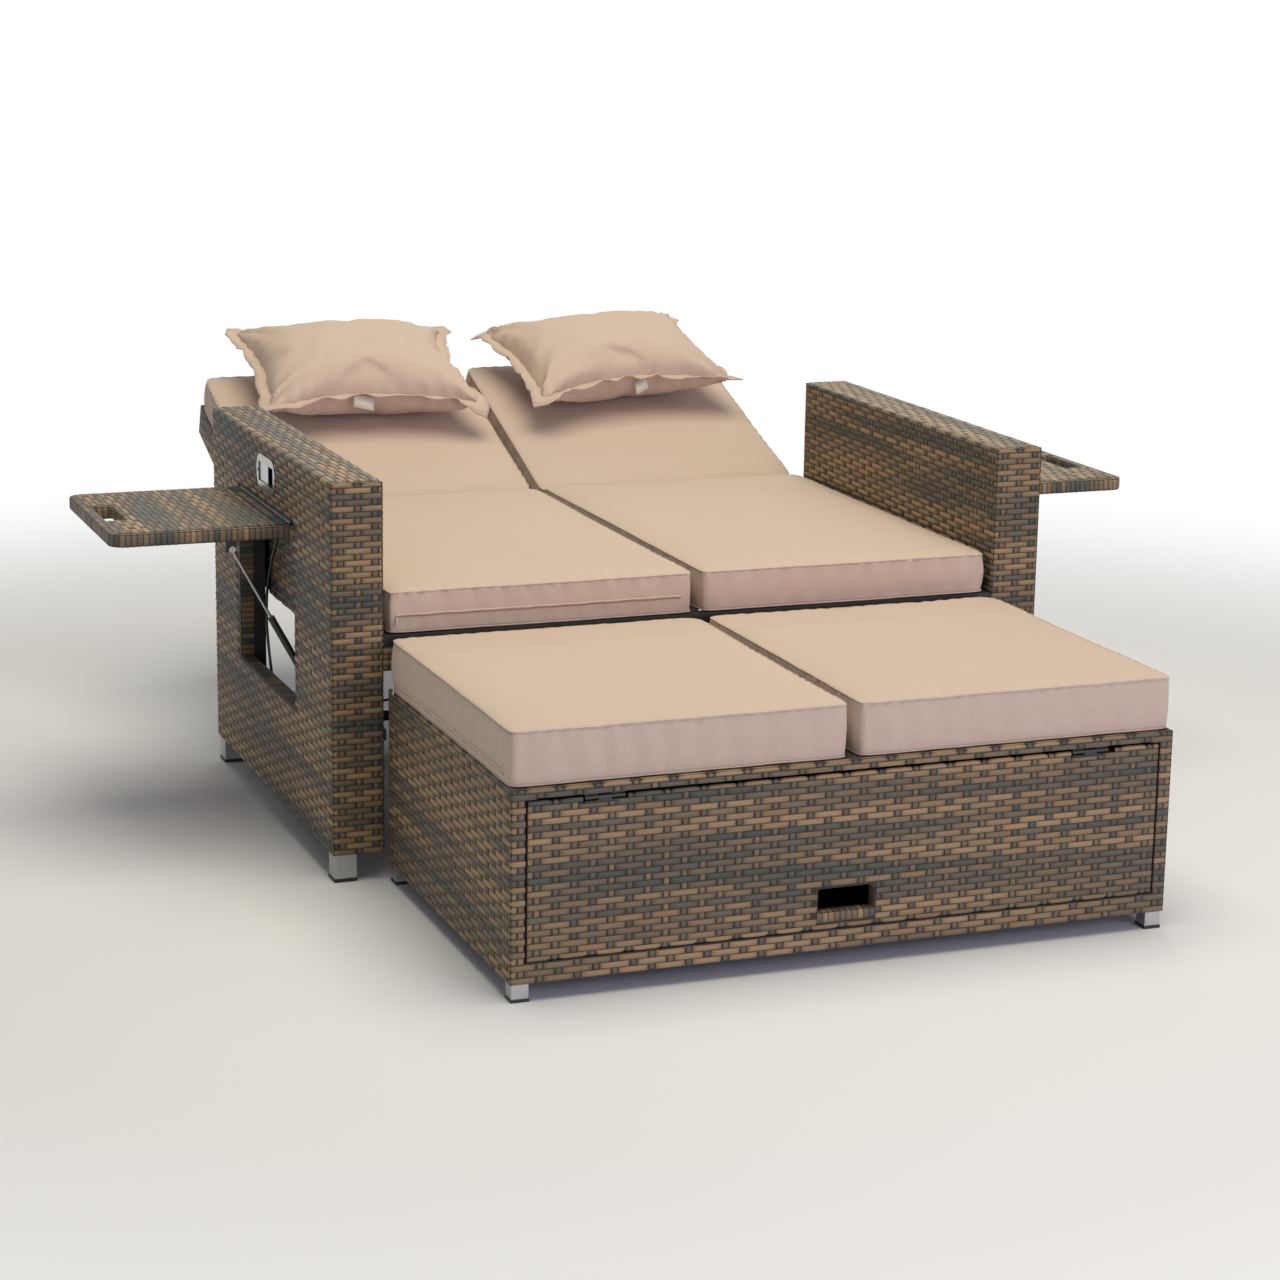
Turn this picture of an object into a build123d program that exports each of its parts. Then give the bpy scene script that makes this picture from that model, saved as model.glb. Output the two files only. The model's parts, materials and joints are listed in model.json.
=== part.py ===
from build123d import *

import os
from math import cos, hypot, pi, radians, sin, tan

# A double chaise lounger: a two-seat woven sofa frame whose backs recline one by one, with a
# fold-down side table in each arm and a storage ottoman that stands in front of the seat.
# X runs across the seat, Y from the front to the back, Z up. The origin is on the floor, under
# the middle of the whole piece with its backs down, its tables out and the ottoman in place.

# Arms
overall_width = 1250
arm_width = 84
arm_depth = 793
arm_height = 651
arm_underside = 46
skin = 5
tube = 20
tube_wall = 1.5
foot_width = 36
foot_inset = 3
glide_height = 6
glide_lip = 1
front_cover = 45
cut = 1
contact_gap = 0.3
running_gap = 0.05

# Table opening in the outside of each arm
opening_front = 229
opening_width = 376
opening_bottom = 234
opening_top = 548
bare_post = 20

# Side tables
table_thickness = 20
table_skin = 3
table_length = 300
table_start = 6
table_side_gap = 2
table_corner = 24
table_tube = 18
table_hinge_z = 542
table_slot_length = 121
table_slot_width = 34
table_slot_rim = 17
hinge_radius = 3.5
hinge_pin_radius = 1.5
hinge_leaf = 2
hinge_leaf_width = 16
hinge_end_gap = 16
knuckles = 9
knuckle_gap = 0.5

# Folding struts of the tables
strut_inset = 24
strut_foot_depth = 35
strut_foot_z = 258
strut_reach = 98
strut_drop = 18
strut_body_radius = 6
strut_body_length = 146
strut_rod_radius = 2.5
strut_eye_radius = 6
strut_eye_width = 8
strut_pin_radius = 3
strut_guide = 8
strut_travel = 126
bracket_plate = 2.5
bracket_width = 18
bracket_height = 34

# Seat
seat_top = 406
slat_thickness = 3
slat_width = 40
slat_count = 9
slat_first = 50
slat_end_gap = 1
rail_count = 5
apron_bottom = 346
apron_depth = 26
apron_skin = 4
seat_frame_end = 765
bolt_radius = 4
bolt_clearance = 0.3
bolt_head_radius = 7
bolt_head_height = 5
bolt_first = 110
bolt_pitch = 270
bolts_per_side = 3

# Backs
pivot_y = 790
pivot_z = 375
rest_angle = 20
back_travel = 55
panel_thickness = 60
panel_face = 10
panel_start = 20
panel_end = 555
panel_outside = 530
panel_middle_gap = 3
back_rail_count = 2
lug_thickness = 6
lug_radius = 12
back_lug_radius = 9
lug_gap = 0.5
lug_inset = 60
pivot_pin_radius = 5
pin_head = 3
lug_slot_gap = 1.5

# Gas springs of the backs
spring_x = 265
spring_foot_rise = 24
spring_reach = 180
spring_drop = 20
spring_body_radius = 11
spring_body_length = 215
spring_rod_radius = 4.5
spring_eye_radius = 9
spring_eye_width = 12
spring_pin_radius = 4
spring_guide = 10
spring_rod_tail = 6
spring_plate = 4

# Release handles and their cables
cup_y = 406
cup_z = 597
cup_width = 123
cup_height = 60
cup_corner = 27
cup_flange = 2
cup_depth = 22
cup_wall = 2
cup_hole_inset = 11
paddle_share = 0.6
paddle_thickness = 3
paddle_gap = 0.8
paddle_lip = 10
paddle_barrel_radius = 3
paddle_pin_radius = 1.2
cup_screw_radius = 2.2
cup_screw_inset = 6
cable_radius = 2.5
ferrule = 12

# Cushions
cushion_height = 62
seat_crown = 9
seat_cushion_front = 2
seat_cushion_end = 811
cushion_outside = 538
cushion_middle_gap = 5
side_bulge = 3
end_drop = 10
draw_in = 4
back_cushion_start = 50
back_cushion_end = 552
back_cushion_outside = 532
back_crown = 9
stool_cushion_height = 76
stool_crown = 8
stool_cushion_overhang = 6

# Scatter pillows
pillow_width = 452
pillow_length = 300
pillow_thickness = 136
pillow_edge = 7
pillow_x = 262
pillow_place = 447
pillow_settle = 0.55
left_pillow_turn = 4.5
right_pillow_turn = 6

# Ottoman
stool_width = 1070
stool_depth = 608
stool_height = 318
stool_underside = 28
stool_gap = 9
stool_tube = 16
stool_foot_width = 26
stool_glide = 5
floor_panel = 6
floor_clearance = 1
stool_cross_count = 5
flap_width = 1022
flap_bottom = 61
flap_top = 292
flap_thickness = 20
flap_skin = 3
flap_tube = 18
flap_side_gap = 2.5
flap_hinge_rise = 4.5
flap_rail_gap = 11
flap_hinge_x = 393
flap_hinge_length = 62
flap_slot_left = -55
flap_slot_width = 92
flap_slot_bottom = 86
flap_slot_height = 37
pad_width = 18
pad_length = 24
pad_z = 231
pad_thickness = 5

# Places that follow from these sizes
arm_out = overall_width / 2
arm_in = arm_out - arm_width
panel_back = panel_face - panel_thickness
back_reach = (pivot_y + panel_end * cos(radians(rest_angle))
              - panel_back * sin(radians(rest_angle)))
front_y = (stool_gap + stool_depth - back_reach) / 2
rear_y = front_y + arm_depth
stool_back = front_y - stool_gap
stool_front = stool_back - stool_depth
opening_y = (front_y + opening_front, front_y + opening_front + opening_width)
opening_z = (opening_bottom, opening_top)
lining_depth = skin + tube
arm_x = (arm_in, arm_out)
arm_y = (front_y, rear_y)
arm_z = (arm_underside, arm_height)
outer_tube_x = (arm_out - skin - tube, arm_out - skin)
inner_tube_x = (arm_in + skin, arm_in + skin + tube)
bare_post_x = (outer_tube_x[0] - bare_post, outer_tube_x[0])
rail_top = seat_top - slat_thickness
rail_z = (rail_top - tube, rail_top)
inner_rail_z = (apron_bottom, rail_top)
bolt_z = rail_top - tube / 2
bolt_ys = [front_y + bolt_first + bolt_pitch * i for i in range(bolts_per_side)]
table_x = (arm_out + table_start, arm_out + table_length)
table_y = (opening_y[0] + table_side_gap, opening_y[1] - table_side_gap)
table_z = (table_hinge_z - table_thickness, table_hinge_z)
slot_x = (table_x[1] - table_slot_rim - table_slot_width, table_x[1] - table_slot_rim)
slot_middle = sum(table_y) / 2
slot_y = (slot_middle - table_slot_length / 2, slot_middle + table_slot_length / 2)
pivot = (0, front_y + pivot_y, pivot_z)
back_plane = Plane(origin=pivot, x_dir=(1, 0, 0),
                   z_dir=(0, -sin(radians(rest_angle)), cos(radians(rest_angle))))
strut_y = opening_y[0] + strut_inset
strut_foot = (arm_out - strut_foot_depth, strut_foot_z)
strut_head = (arm_out + strut_reach, table_z[0] - strut_drop)
stretcher_y = (rear_y - skin - tube, rear_y - skin)
stretcher_z = (arm_underside + skin, arm_underside + skin + tube)
spring_foot = (sum(stretcher_y) / 2, stretcher_z[1] + spring_foot_rise)
spring_n = panel_back - spring_drop


def inset(limits, amount):
    """The limits drawn in by an amount at both ends."""
    return (limits[0] + amount, limits[1] - amount)


def block(x, y, z, mode=Mode.ADD):
    """A box between its low and high limits on each axis of the part in hand."""
    with Locations((sum(x) / 2, sum(y) / 2, sum(z) / 2)):
        Box(x[1] - x[0], y[1] - y[0], z[1] - z[0], mode=mode)


def rod(axis, x, y, z, radius, length, mode=Mode.ADD):
    """A round bar centred at a point, along the named axis."""
    turn = {"X": (0, 90, 0), "Y": (90, 0, 0), "Z": (0, 0, 0)}[axis]
    with Locations((x, y, z)):
        Cylinder(radius, length, rotation=turn, mode=mode)


def tubes(members):
    """Square tubes welded into one frame, hollow inside from end to end."""
    for x, y, z in members:
        block(x, y, z)
    for x, y, z in members:
        block(inset(x, tube_wall), inset(y, tube_wall), inset(z, tube_wall), Mode.SUBTRACT)


def save(part, node):
    """Label a finished piece and write it as its own file."""
    part.label = node
    export_step(part, f"parts/{node}.step")


def save_pair(right, node):
    """Write a piece of the right side and its mirror on the left."""
    save(right, f"{node}_right")
    save(mirror(right, about=Plane.YZ), f"{node}_left")


def spaced(low, high, count):
    """Centres of bars that share a stretch evenly."""
    return [low + (high - low) * (i + 1) / (count + 1) for i in range(count)]


def arm_wicker():
    """The woven skin of an arm, with the table opening, its lining and the open inner side."""
    with BuildPart() as shell:
        block(arm_x, arm_y, arm_z)
        block(inset(arm_x, skin), inset(arm_y, skin), inset(arm_z, skin), Mode.SUBTRACT)
        block((arm_out - lining_depth, arm_out), inset(opening_y, -skin), inset(opening_z, -skin))
        block((arm_out - lining_depth - cut, arm_out + cut), opening_y, opening_z, Mode.SUBTRACT)
        block((arm_in - cut, arm_in + skin), (front_y + front_cover, rear_y - skin),
              (arm_underside + skin, apron_bottom), Mode.SUBTRACT)
        block((arm_out - skin - cut, arm_out + cut),
              (front_y + cup_y - cup_width / 2 + cup_hole_inset,
               front_y + cup_y + cup_width / 2 - cup_hole_inset),
              (cup_z - cup_height / 2 + cup_hole_inset, cup_z + cup_height / 2 - cup_hole_inset),
              Mode.SUBTRACT)
        for y in bolt_ys:
            rod("X", arm_in, y, bolt_z, bolt_radius + bolt_clearance, tube, Mode.SUBTRACT)
    return shell.part


def arm_frame():
    """The welded tube frame inside an arm."""
    z = inset(arm_z, skin)
    front = (front_y + skin, front_y + skin + tube)
    rear = stretcher_y
    length = (front[0], rear[1])
    width = (inner_tube_x[0], outer_tube_x[1])
    opening_posts = ((opening_y[0] - skin - tube, opening_y[0] - skin),
                     (opening_y[1] + skin, opening_y[1] + skin + tube))
    bare_posts = ((opening_y[0] - bare_post, opening_y[0]), (opening_y[1], opening_y[1] + bare_post))
    top = (z[1] - tube, z[1])
    bottom = (z[0], z[0] + tube)
    posts = [(outer_tube_x, y, z) for y in (front, rear) + opening_posts]
    posts += [(bare_post_x, y, z) for y in bare_posts]
    posts += [(inner_tube_x, front, z), (inner_tube_x, rear, (inner_rail_z[0], z[1]))]
    rails = [(x, length, top) for x in (outer_tube_x, inner_tube_x)]
    rails += [(x, (length[0], rear[0]), bottom) for x in (outer_tube_x, inner_tube_x)]
    rails += [(inner_tube_x, length, inner_rail_z)]
    rails += [(outer_tube_x, (opening_posts[0][0], opening_posts[1][1]), rail)
              for rail in ((opening_z[1] + skin, opening_z[1] + skin + tube),
                           (opening_z[0] - skin - tube, opening_z[0] - skin))]
    ties = [(width, y, top) for y in (front, rear) + bare_posts]
    ties += [(width, y, bottom) for y in (front,) + bare_posts]
    with BuildPart() as frame:
        tubes(posts + rails + ties)
        for y in bolt_ys:
            rod("X", sum(inner_tube_x) / 2, y, bolt_z, bolt_radius + bolt_clearance,
                tube * 2, Mode.SUBTRACT)
    return frame.part


def corner_feet(xs, ys, width, low, high):
    """Square foot sleeves or glides under the corners."""
    with BuildPart() as feet:
        for x in xs:
            for y in ys:
                block((x - width / 2, x + width / 2), (y - width / 2, y + width / 2), (low, high))
    return feet.part


def seat_frame():
    """The black steel frame of the seat, with the lugs that carry the backs."""
    front = (front_y + apron_skin, front_y + apron_depth - apron_skin)
    rear = (front_y + seat_frame_end - tube, front_y + seat_frame_end)
    across = (-arm_in, arm_in)
    members = [(across, front, rail_z), (across, rear, rail_z),
               (across, front, (apron_bottom + apron_skin, rail_z[0] + tube_wall))]
    middles = [tube / 2 - arm_in, arm_in - tube / 2] + spaced(-arm_in, arm_in, rail_count)
    members += [((x - tube / 2, x + tube / 2), (front[0], rear[1]), rail_z) for x in middles]
    with BuildPart() as frame:
        tubes(members)
        for x in seat_lug_xs():
            with BuildSketch(Plane.YZ.offset(x - lug_thickness / 2)):
                with Locations((front_y + seat_frame_end - tube / 2, sum(rail_z) / 2)):
                    Rectangle(tube, tube)
                with Locations((pivot[1], pivot[2])):
                    Circle(lug_radius)
                make_hull()
            extrude(amount=lug_thickness)
            rod("X", x, pivot[1], pivot[2], pivot_pin_radius, lug_thickness * 2, Mode.SUBTRACT)
        for side in (-1, 1):
            for y in bolt_ys:
                rod("X", side * (arm_in - tube / 2), y, bolt_z, bolt_radius + bolt_clearance,
                    tube * 2, Mode.SUBTRACT)
    return frame.part


def back_lug_xs():
    """The middle of each lug on the right back, from the middle of the seat outwards."""
    return (panel_middle_gap + lug_inset, panel_outside - lug_inset)


def seat_lug_xs():
    """The middle of each lug on the seat frame: one outside each lug of the backs."""
    step = lug_thickness + lug_gap
    inside, outside = back_lug_xs()
    return [side * x for side in (-1, 1) for x in (inside - step, outside + step)]


def pivot_pins():
    """Four headed pins that the backs turn on, pressed into the seat frame's lugs."""
    with BuildPart() as pins:
        for side in (-1, 1):
            for lug, way in zip(back_lug_xs(), (-1, 1)):
                low = lug - way * (lug_thickness / 2 + lug_gap)
                high = lug + way * (lug_thickness * 3 / 2 + lug_gap)
                middle = side * (low + high) / 2
                rod("X", middle, pivot[1], pivot[2], pivot_pin_radius, abs(high - low))
                rod("X", side * (low - way * pin_head / 2), pivot[1], pivot[2],
                    pivot_pin_radius * 3 / 2, pin_head)
    return pins.part


def seat_slats():
    """Flat steel slats across the seat, under the cushions."""
    step = (seat_frame_end - slat_first - slat_width) / (slat_count - 1)
    width = inset((-arm_in, arm_in), slat_end_gap)
    with BuildPart() as slats:
        for i in range(slat_count):
            y = front_y + slat_first - slat_width / 2 + step * i
            block(width, (y, y + slat_width), (rail_top, seat_top))
    return slats.part


def apron_wicker():
    """The woven cover of the rail under the front of the seat, open at the top."""
    with BuildPart() as cover:
        block((-arm_in, arm_in), (front_y, front_y + apron_depth), (apron_bottom, rail_z[0]))
        block((-arm_in, arm_in), (front_y + apron_skin, front_y + apron_depth - apron_skin),
              (apron_bottom + apron_skin, rail_z[0]), Mode.SUBTRACT)
    return cover.part


def frame_bolts():
    """Bolts that hold the seat frame to the arm frames."""
    with BuildPart() as bolts:
        for side in (-1, 1):
            for y in bolt_ys:
                shank = tube + skin + tube
                rod("X", side * (arm_in - tube + shank / 2), y, bolt_z, bolt_radius, shank)
                with BuildSketch(Plane.YZ.offset(side * (arm_in - tube))):
                    with Locations((y, bolt_z)):
                        RegularPolygon(bolt_head_radius, 6)
                extrude(amount=-side * bolt_head_height)
    return bolts.part


def rear_stretcher():
    """The low rear tube between the arms, with the forks of the gas springs."""
    plate_gap = spring_eye_width / 2 + contact_gap
    with BuildPart() as bar:
        block((-outer_tube_x[0], outer_tube_x[0]), stretcher_y, stretcher_z)
        for side in (-1, 1):
            for edge in (-1, 1):
                x = side * spring_x + edge * (plate_gap + spring_plate / 2)
                with BuildSketch(Plane.YZ.offset(x - spring_plate / 2)):
                    with Locations((spring_foot[0], stretcher_z[1] - tube / 2)):
                        Rectangle(tube, tube)
                    with Locations(spring_foot):
                        Circle(spring_eye_radius)
                    make_hull()
                extrude(amount=spring_plate)
            rod("X", side * spring_x, spring_foot[0], spring_foot[1], spring_pin_radius,
                (plate_gap + spring_plate) * 2)
    return bar.part


def guide_pads():
    """Rubber pads on the arms' inner corners, which guide the ottoman between the arms."""
    with BuildPart() as pads:
        for side in (-1, 1):
            block(tuple(sorted((side * arm_in, side * (arm_in - pad_thickness)))),
                  (front_y, front_y + pad_length), (pad_z, pad_z + pad_width))
    return pads.part


def knuckle_spans(low, high, own):
    """Stretches of the hinge barrel that one leaf carries: the even ones or the odd ones."""
    pitch = (high - low) / knuckles
    return [(low + pitch * i + knuckle_gap / 2, low + pitch * (i + 1) - knuckle_gap / 2)
            for i in range(knuckles) if i % 2 == own]


def table_hinge_fixed():
    """The hinge leaves under both openings' top edges, their knuckles and the pins."""
    y = inset(opening_y, hinge_end_gap)
    with BuildPart() as leaf:
        block((arm_out - lining_depth, arm_out), y, (opening_top - hinge_leaf, opening_top))
        for low, high in knuckle_spans(*y, 0):
            rod("Y", arm_out, (low + high) / 2, table_hinge_z, hinge_radius, high - low)
            block((arm_out - hinge_radius, arm_out), (low, high),
                  (table_hinge_z, opening_top))
        rod("Y", arm_out, sum(y) / 2, table_hinge_z, hinge_pin_radius, y[1] - y[0])
        mirror(about=Plane.YZ)
    return leaf.part


def table_hinge_moving():
    """The hinge leaf on the table's top edge, with the knuckles between the fixed ones."""
    y = inset(opening_y, hinge_end_gap)
    with BuildPart() as leaf:
        block((arm_out + table_start, arm_out + table_start + hinge_leaf_width), y,
              (table_hinge_z, table_hinge_z + hinge_leaf))
        for low, high in knuckle_spans(*y, 1):
            rod("Y", arm_out, (low + high) / 2, table_hinge_z, hinge_radius, high - low)
            block((arm_out, arm_out + table_start), (low, high),
                  (table_hinge_z, table_hinge_z + hinge_leaf))
        rod("Y", arm_out, sum(y) / 2, table_hinge_z, hinge_pin_radius + running_gap,
            y[1] - y[0] + cut, Mode.SUBTRACT)
    return leaf.part


def table_outline(inward):
    """The table's plan, with its two outer corners rounded, drawn in by a skin."""
    x = inset(table_x, inward)
    y = inset(table_y, inward)
    with Locations((sum(x) / 2, sum(y) / 2)):
        Rectangle(x[1] - x[0], y[1] - y[0])
    outer = vertices().group_by(Axis.X)[-1]
    fillet(outer, table_corner - inward)


def table_wicker():
    """The woven skin of a side table, closed all round and open at the hand slot."""
    with BuildPart() as shell:
        with BuildSketch(Plane.XY.offset(table_z[0])):
            table_outline(0)
        extrude(amount=table_thickness)
        with BuildSketch(Plane.XY.offset(table_z[0] + table_skin)):
            table_outline(table_skin)
            with Locations((sum(slot_x) / 2, slot_middle)):
                Rectangle(table_slot_width + table_skin * 2, table_slot_length + table_skin * 2,
                          mode=Mode.SUBTRACT)
        extrude(amount=table_thickness - table_skin * 2, mode=Mode.SUBTRACT)
        block(slot_x, slot_y, inset(table_z, -cut), Mode.SUBTRACT)
    return shell.part


def table_frame():
    """The flat tube frame inside a side table: a rim, a bar behind the slot and two ties."""
    z = inset(table_z, table_skin)
    with BuildPart() as frame:
        with BuildSketch(Plane.XY.offset(z[0])):
            table_outline(table_skin)
            with Locations((sum(table_x) / 2, sum(table_y) / 2)):
                Rectangle(table_length - table_start - (table_skin + table_tube) * 2,
                          table_y[1] - table_y[0] - (table_skin + table_tube) * 2,
                          mode=Mode.SUBTRACT)
        extrude(amount=z[1] - z[0])
        block((slot_x[0] - table_skin - table_tube, slot_x[0] - table_skin),
              inset(table_y, table_skin), z)
        for y in ((slot_y[0] - table_skin - table_tube, slot_y[0] - table_skin),
                  (slot_y[1] + table_skin, slot_y[1] + table_skin + table_tube)):
            block(inset(table_x, table_skin), y, z)
        block(inset(slot_x, -table_skin), inset(slot_y, -table_skin), z, Mode.SUBTRACT)
    return frame.part


def strut_plane(foot, head, y):
    """The plane at a strut's foot whose Z runs along the strut and whose X runs along Y."""
    return Plane(origin=(foot[0], y, foot[1]), x_dir=(0, 1, 0),
                 z_dir=(head[0] - foot[0], 0, head[1] - foot[1]))


def strut_cylinder():
    """The black body of a table strut, with the eye that turns on the arm's pin."""
    bore = strut_rod_radius + running_gap
    hollow = (strut_eye_radius * 2, strut_body_length)
    with BuildPart(strut_plane(strut_foot, strut_head, strut_y)) as body:
        block((-strut_eye_width / 2, strut_eye_width / 2), (-strut_eye_radius / 2,
              strut_eye_radius / 2), (0, strut_eye_radius * 2))
        rod("X", 0, 0, 0, strut_eye_radius, strut_eye_width)
        rod("Z", 0, 0, (strut_eye_radius * 3 / 2 + strut_body_length) / 2, strut_body_radius,
            strut_body_length - strut_eye_radius * 3 / 2)
        rod("Z", 0, 0, (hollow[0] + hollow[1] - strut_guide) / 2,
            strut_body_radius - strut_rod_radius / 2, hollow[1] - strut_guide - hollow[0],
            Mode.SUBTRACT)
        rod("Z", 0, 0, strut_body_length, bore, strut_guide * 3, Mode.SUBTRACT)
        rod("X", 0, 0, 0, strut_pin_radius + running_gap, strut_eye_width * 2, Mode.SUBTRACT)
    return body.part


def strut_rod():
    """The bright rod of a table strut, its guide in the body and its eye at the table."""
    length = hypot(strut_head[0] - strut_foot[0], strut_head[1] - strut_foot[1])
    start = strut_eye_radius * 2 + strut_travel + contact_gap
    with BuildPart(strut_plane(strut_foot, strut_head, strut_y)) as slider:
        rod("Z", 0, 0, (start + length) / 2, strut_rod_radius, length - start)
        rod("X", 0, 0, length, strut_eye_radius - contact_gap, strut_eye_width)
    return slider.part


def strut_foot_brackets():
    """The plates and pins on the openings' front posts that carry the table struts."""
    reach = strut_inset + strut_eye_width
    with BuildPart() as bracket:
        block(bare_post_x, (opening_y[0], opening_y[0] + bracket_plate),
              (strut_foot_z - bracket_height / 2, strut_foot_z + bracket_height / 2))
        rod("Y", strut_foot[0], opening_y[0] + reach / 2, strut_foot_z, strut_pin_radius, reach)
        rod("Y", strut_foot[0], opening_y[0] + reach, strut_foot_z, strut_pin_radius * 2,
            bracket_plate)
        mirror(about=Plane.YZ)
    return bracket.part


def strut_head_bracket():
    """The angle plate under a table beside the strut's upper eye."""
    y = strut_y + strut_eye_width / 2 + contact_gap
    x = (strut_head[0] - bracket_width / 2, strut_head[0] + bracket_width / 2)
    with BuildPart() as bracket:
        block(x, (y, y + bracket_width), (table_z[0] - bracket_plate, table_z[0]))
        block(x, (y, y + bracket_plate), (strut_head[1] - strut_eye_radius, table_z[0]))
    return bracket.part


def cup_outline(inward):
    """The release cup's rounded plan, drawn in from its flange."""
    RectangleRounded(cup_width - inward * 2, cup_height - inward * 2, cup_corner - inward)


def cup_frame():
    """The plane on the arm's outside at the cup's middle, X along Y and Z outwards."""
    return Plane(origin=(arm_out, front_y + cup_y, cup_z), x_dir=(0, 1, 0), z_dir=(1, 0, 0))


def cup_hole():
    """Half sizes of the square-cornered hole that the cup's body passes through."""
    return (cup_width / 2 - cup_hole_inset, cup_height / 2 - cup_hole_inset)


def release_cup():
    """The chromed cup of a release handle: a flange on the arm and a pocket behind it."""
    half_x, half_y = cup_hole()
    pocket = (half_x - contact_gap - cup_wall, half_y - contact_gap - cup_wall)
    face = cup_frame()
    with BuildPart() as cup:
        with BuildSketch(face):
            cup_outline(0)
        extrude(amount=cup_flange)
        with BuildSketch(face):
            Rectangle((half_x - contact_gap) * 2, (half_y - contact_gap) * 2)
        extrude(amount=-cup_depth)
        with BuildSketch(face.offset(cup_flange)):
            Rectangle(pocket[0] * 2, pocket[1] * 2)
        extrude(amount=-(cup_flange + cup_depth - cup_wall), mode=Mode.SUBTRACT)
        with BuildSketch(face.offset(cup_flange)):
            with Locations((cup_width / 2 - cup_screw_inset, 0), (cup_screw_inset - cup_width / 2, 0)):
                Circle(cup_screw_radius)
        extrude(amount=-cup_flange, mode=Mode.SUBTRACT)
        x, y, z = cable_points[0]
        block((x - ferrule / 2, arm_out - cup_depth),
              (front_y + y - ferrule / 2, front_y + y + ferrule / 2), (z, z + ferrule))
        pin_x, pin_y, pin_z = face.from_local_coords(
            (paddle_places()[1] - paddle_barrel_radius, 0, -paddle_barrel_radius))
        rod("Z", pin_x, pin_y, pin_z, paddle_pin_radius, (pocket[1] + cup_wall) * 2)
    return cup.part


def paddle_places():
    """Where the paddle starts and ends along the pocket, and its half width."""
    half_x, half_y = cup_hole()
    pocket = (half_x - contact_gap - cup_wall, half_y - contact_gap - cup_wall)
    high = pocket[0] - paddle_gap
    return high - pocket[0] * 2 * paddle_share, high, pocket[1] - paddle_gap


def release_paddle():
    """The paddle that is pulled outwards to free a back."""
    low, high, half = paddle_places()
    face = cup_frame()
    barrel = high - paddle_barrel_radius
    with BuildPart(face) as paddle:
        block((low, barrel), (-half, half), (-paddle_thickness, 0))
        block((low, low + paddle_thickness), (-half, half),
              (-paddle_lip - paddle_thickness, -paddle_thickness))
        rod("Y", barrel, 0, -paddle_barrel_radius, paddle_barrel_radius, half * 2)
        rod("Y", barrel, 0, -paddle_barrel_radius, paddle_pin_radius + running_gap,
            half * 2 + cut, Mode.SUBTRACT)
    return paddle.part


def cup_screws():
    """Two domed screws in each release cup's flange."""
    reach = cup_width / 2 - cup_screw_inset
    with BuildPart() as screws:
        with BuildSketch(cup_frame()):
            with Locations((-reach, 0), (reach, 0)):
                Circle(cup_screw_radius - running_gap)
        extrude(amount=cup_flange)
        with BuildSketch(cup_frame().offset(cup_flange)):
            with Locations((-reach, 0), (reach, 0)):
                Circle(cup_screw_radius * 3 / 2)
        extrude(amount=cup_flange / 2)
        mirror(about=Plane.YZ)
    return screws.part


# The cable's route from the cup to the gas spring: across, from the sofa's front, and up.
cable_points = [(583, 440, 582), (583, 440, 546), (583, 467, 505), (583, 506, 462),
                (583, 549, 415), (583, 582, 362), (583, 590, 300), (583, 571, 243),
                (582, 546, 190), (578, 549, 136), (573, 594, 104), (566, 651, 92),
                (545, 704, 86), (497, 735, 84), (438, 746, 84), (378, 752, 87),
                (325, 762, 91), (276.5, 772, 95)]


def cable_radii(points):
    """The largest arc that each corner's two runs allow."""
    radii = []
    for a, b, c in zip(points, points[1:], points[2:]):
        before = Vector(*b) - Vector(*a)
        after = Vector(*c) - Vector(*b)
        turn = radians(before.get_angle(after))
        radii.append(min(before.length, after.length) * 0.45 / tan(turn / 2))
    return radii


def release_cables():
    """The release cables, each from its cup down through the arm to the gas spring."""
    points = [(x, front_y + y, z) for x, y, z in cable_points]
    radii = cable_radii(points)
    with BuildPart() as cable:
        with BuildLine() as route:
            FilletPolyline(*points, radius=radii)
        path = route.wires()[0]
        with BuildSketch(Plane(origin=path @ 0, z_dir=path % 0)):
            Circle(cable_radius)
        sweep(path=path)
        volume = cable.part.volume
        mirror(about=Plane.YZ)
    length = path.length
    share = volume / (pi * cable_radius ** 2 * length)
    print(f"cable: length {length:.0f}, volume share {share:.4f}, radii",
          [round(r) for r in radii])
    return cable.part


def back_wicker():
    """The woven skin of a back, closed all round, with slots for its lugs."""
    x = (panel_middle_gap, panel_outside)
    s = (panel_start, panel_end)
    n = (panel_back, panel_face)
    with BuildPart(back_plane) as shell:
        block(x, s, n)
        block(inset(x, skin), inset(s, skin), inset(n, skin), Mode.SUBTRACT)
        for lug in back_lug_xs():
            block((lug - lug_thickness / 2 - lug_slot_gap, lug + lug_thickness / 2 + lug_slot_gap),
                  (panel_start - cut, panel_start + skin), (-back_lug_radius - lug_slot_gap * 2,
                  back_lug_radius + lug_slot_gap * 2), Mode.SUBTRACT)
    return shell.part


def back_frame():
    """The tube frame inside a back, its pivot lugs and the gas spring's bracket."""
    x = inset((panel_middle_gap, panel_outside), skin)
    s = inset((panel_start, panel_end), skin)
    n = inset((panel_back, panel_face), skin)
    members = [((x[0], x[0] + tube), s, n), ((x[1] - tube, x[1]), s, n),
               (x, (s[0], s[0] + tube), n), (x, (s[1] - tube, s[1]), n)]
    members += [((middle - tube / 2, middle + tube / 2), s, n)
                for middle in spaced(x[0], x[1], back_rail_count)]
    with BuildPart(back_plane) as frame:
        tubes(members)
        for lug in back_lug_xs():
            rod("X", lug, 0, 0, back_lug_radius, lug_thickness)
            block((lug - lug_thickness / 2, lug + lug_thickness / 2), (0, s[0]),
                  (-back_lug_radius, back_lug_radius))
            rod("X", lug, 0, 0, pivot_pin_radius + running_gap, lug_thickness * 2, Mode.SUBTRACT)
    return frame.part


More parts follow.
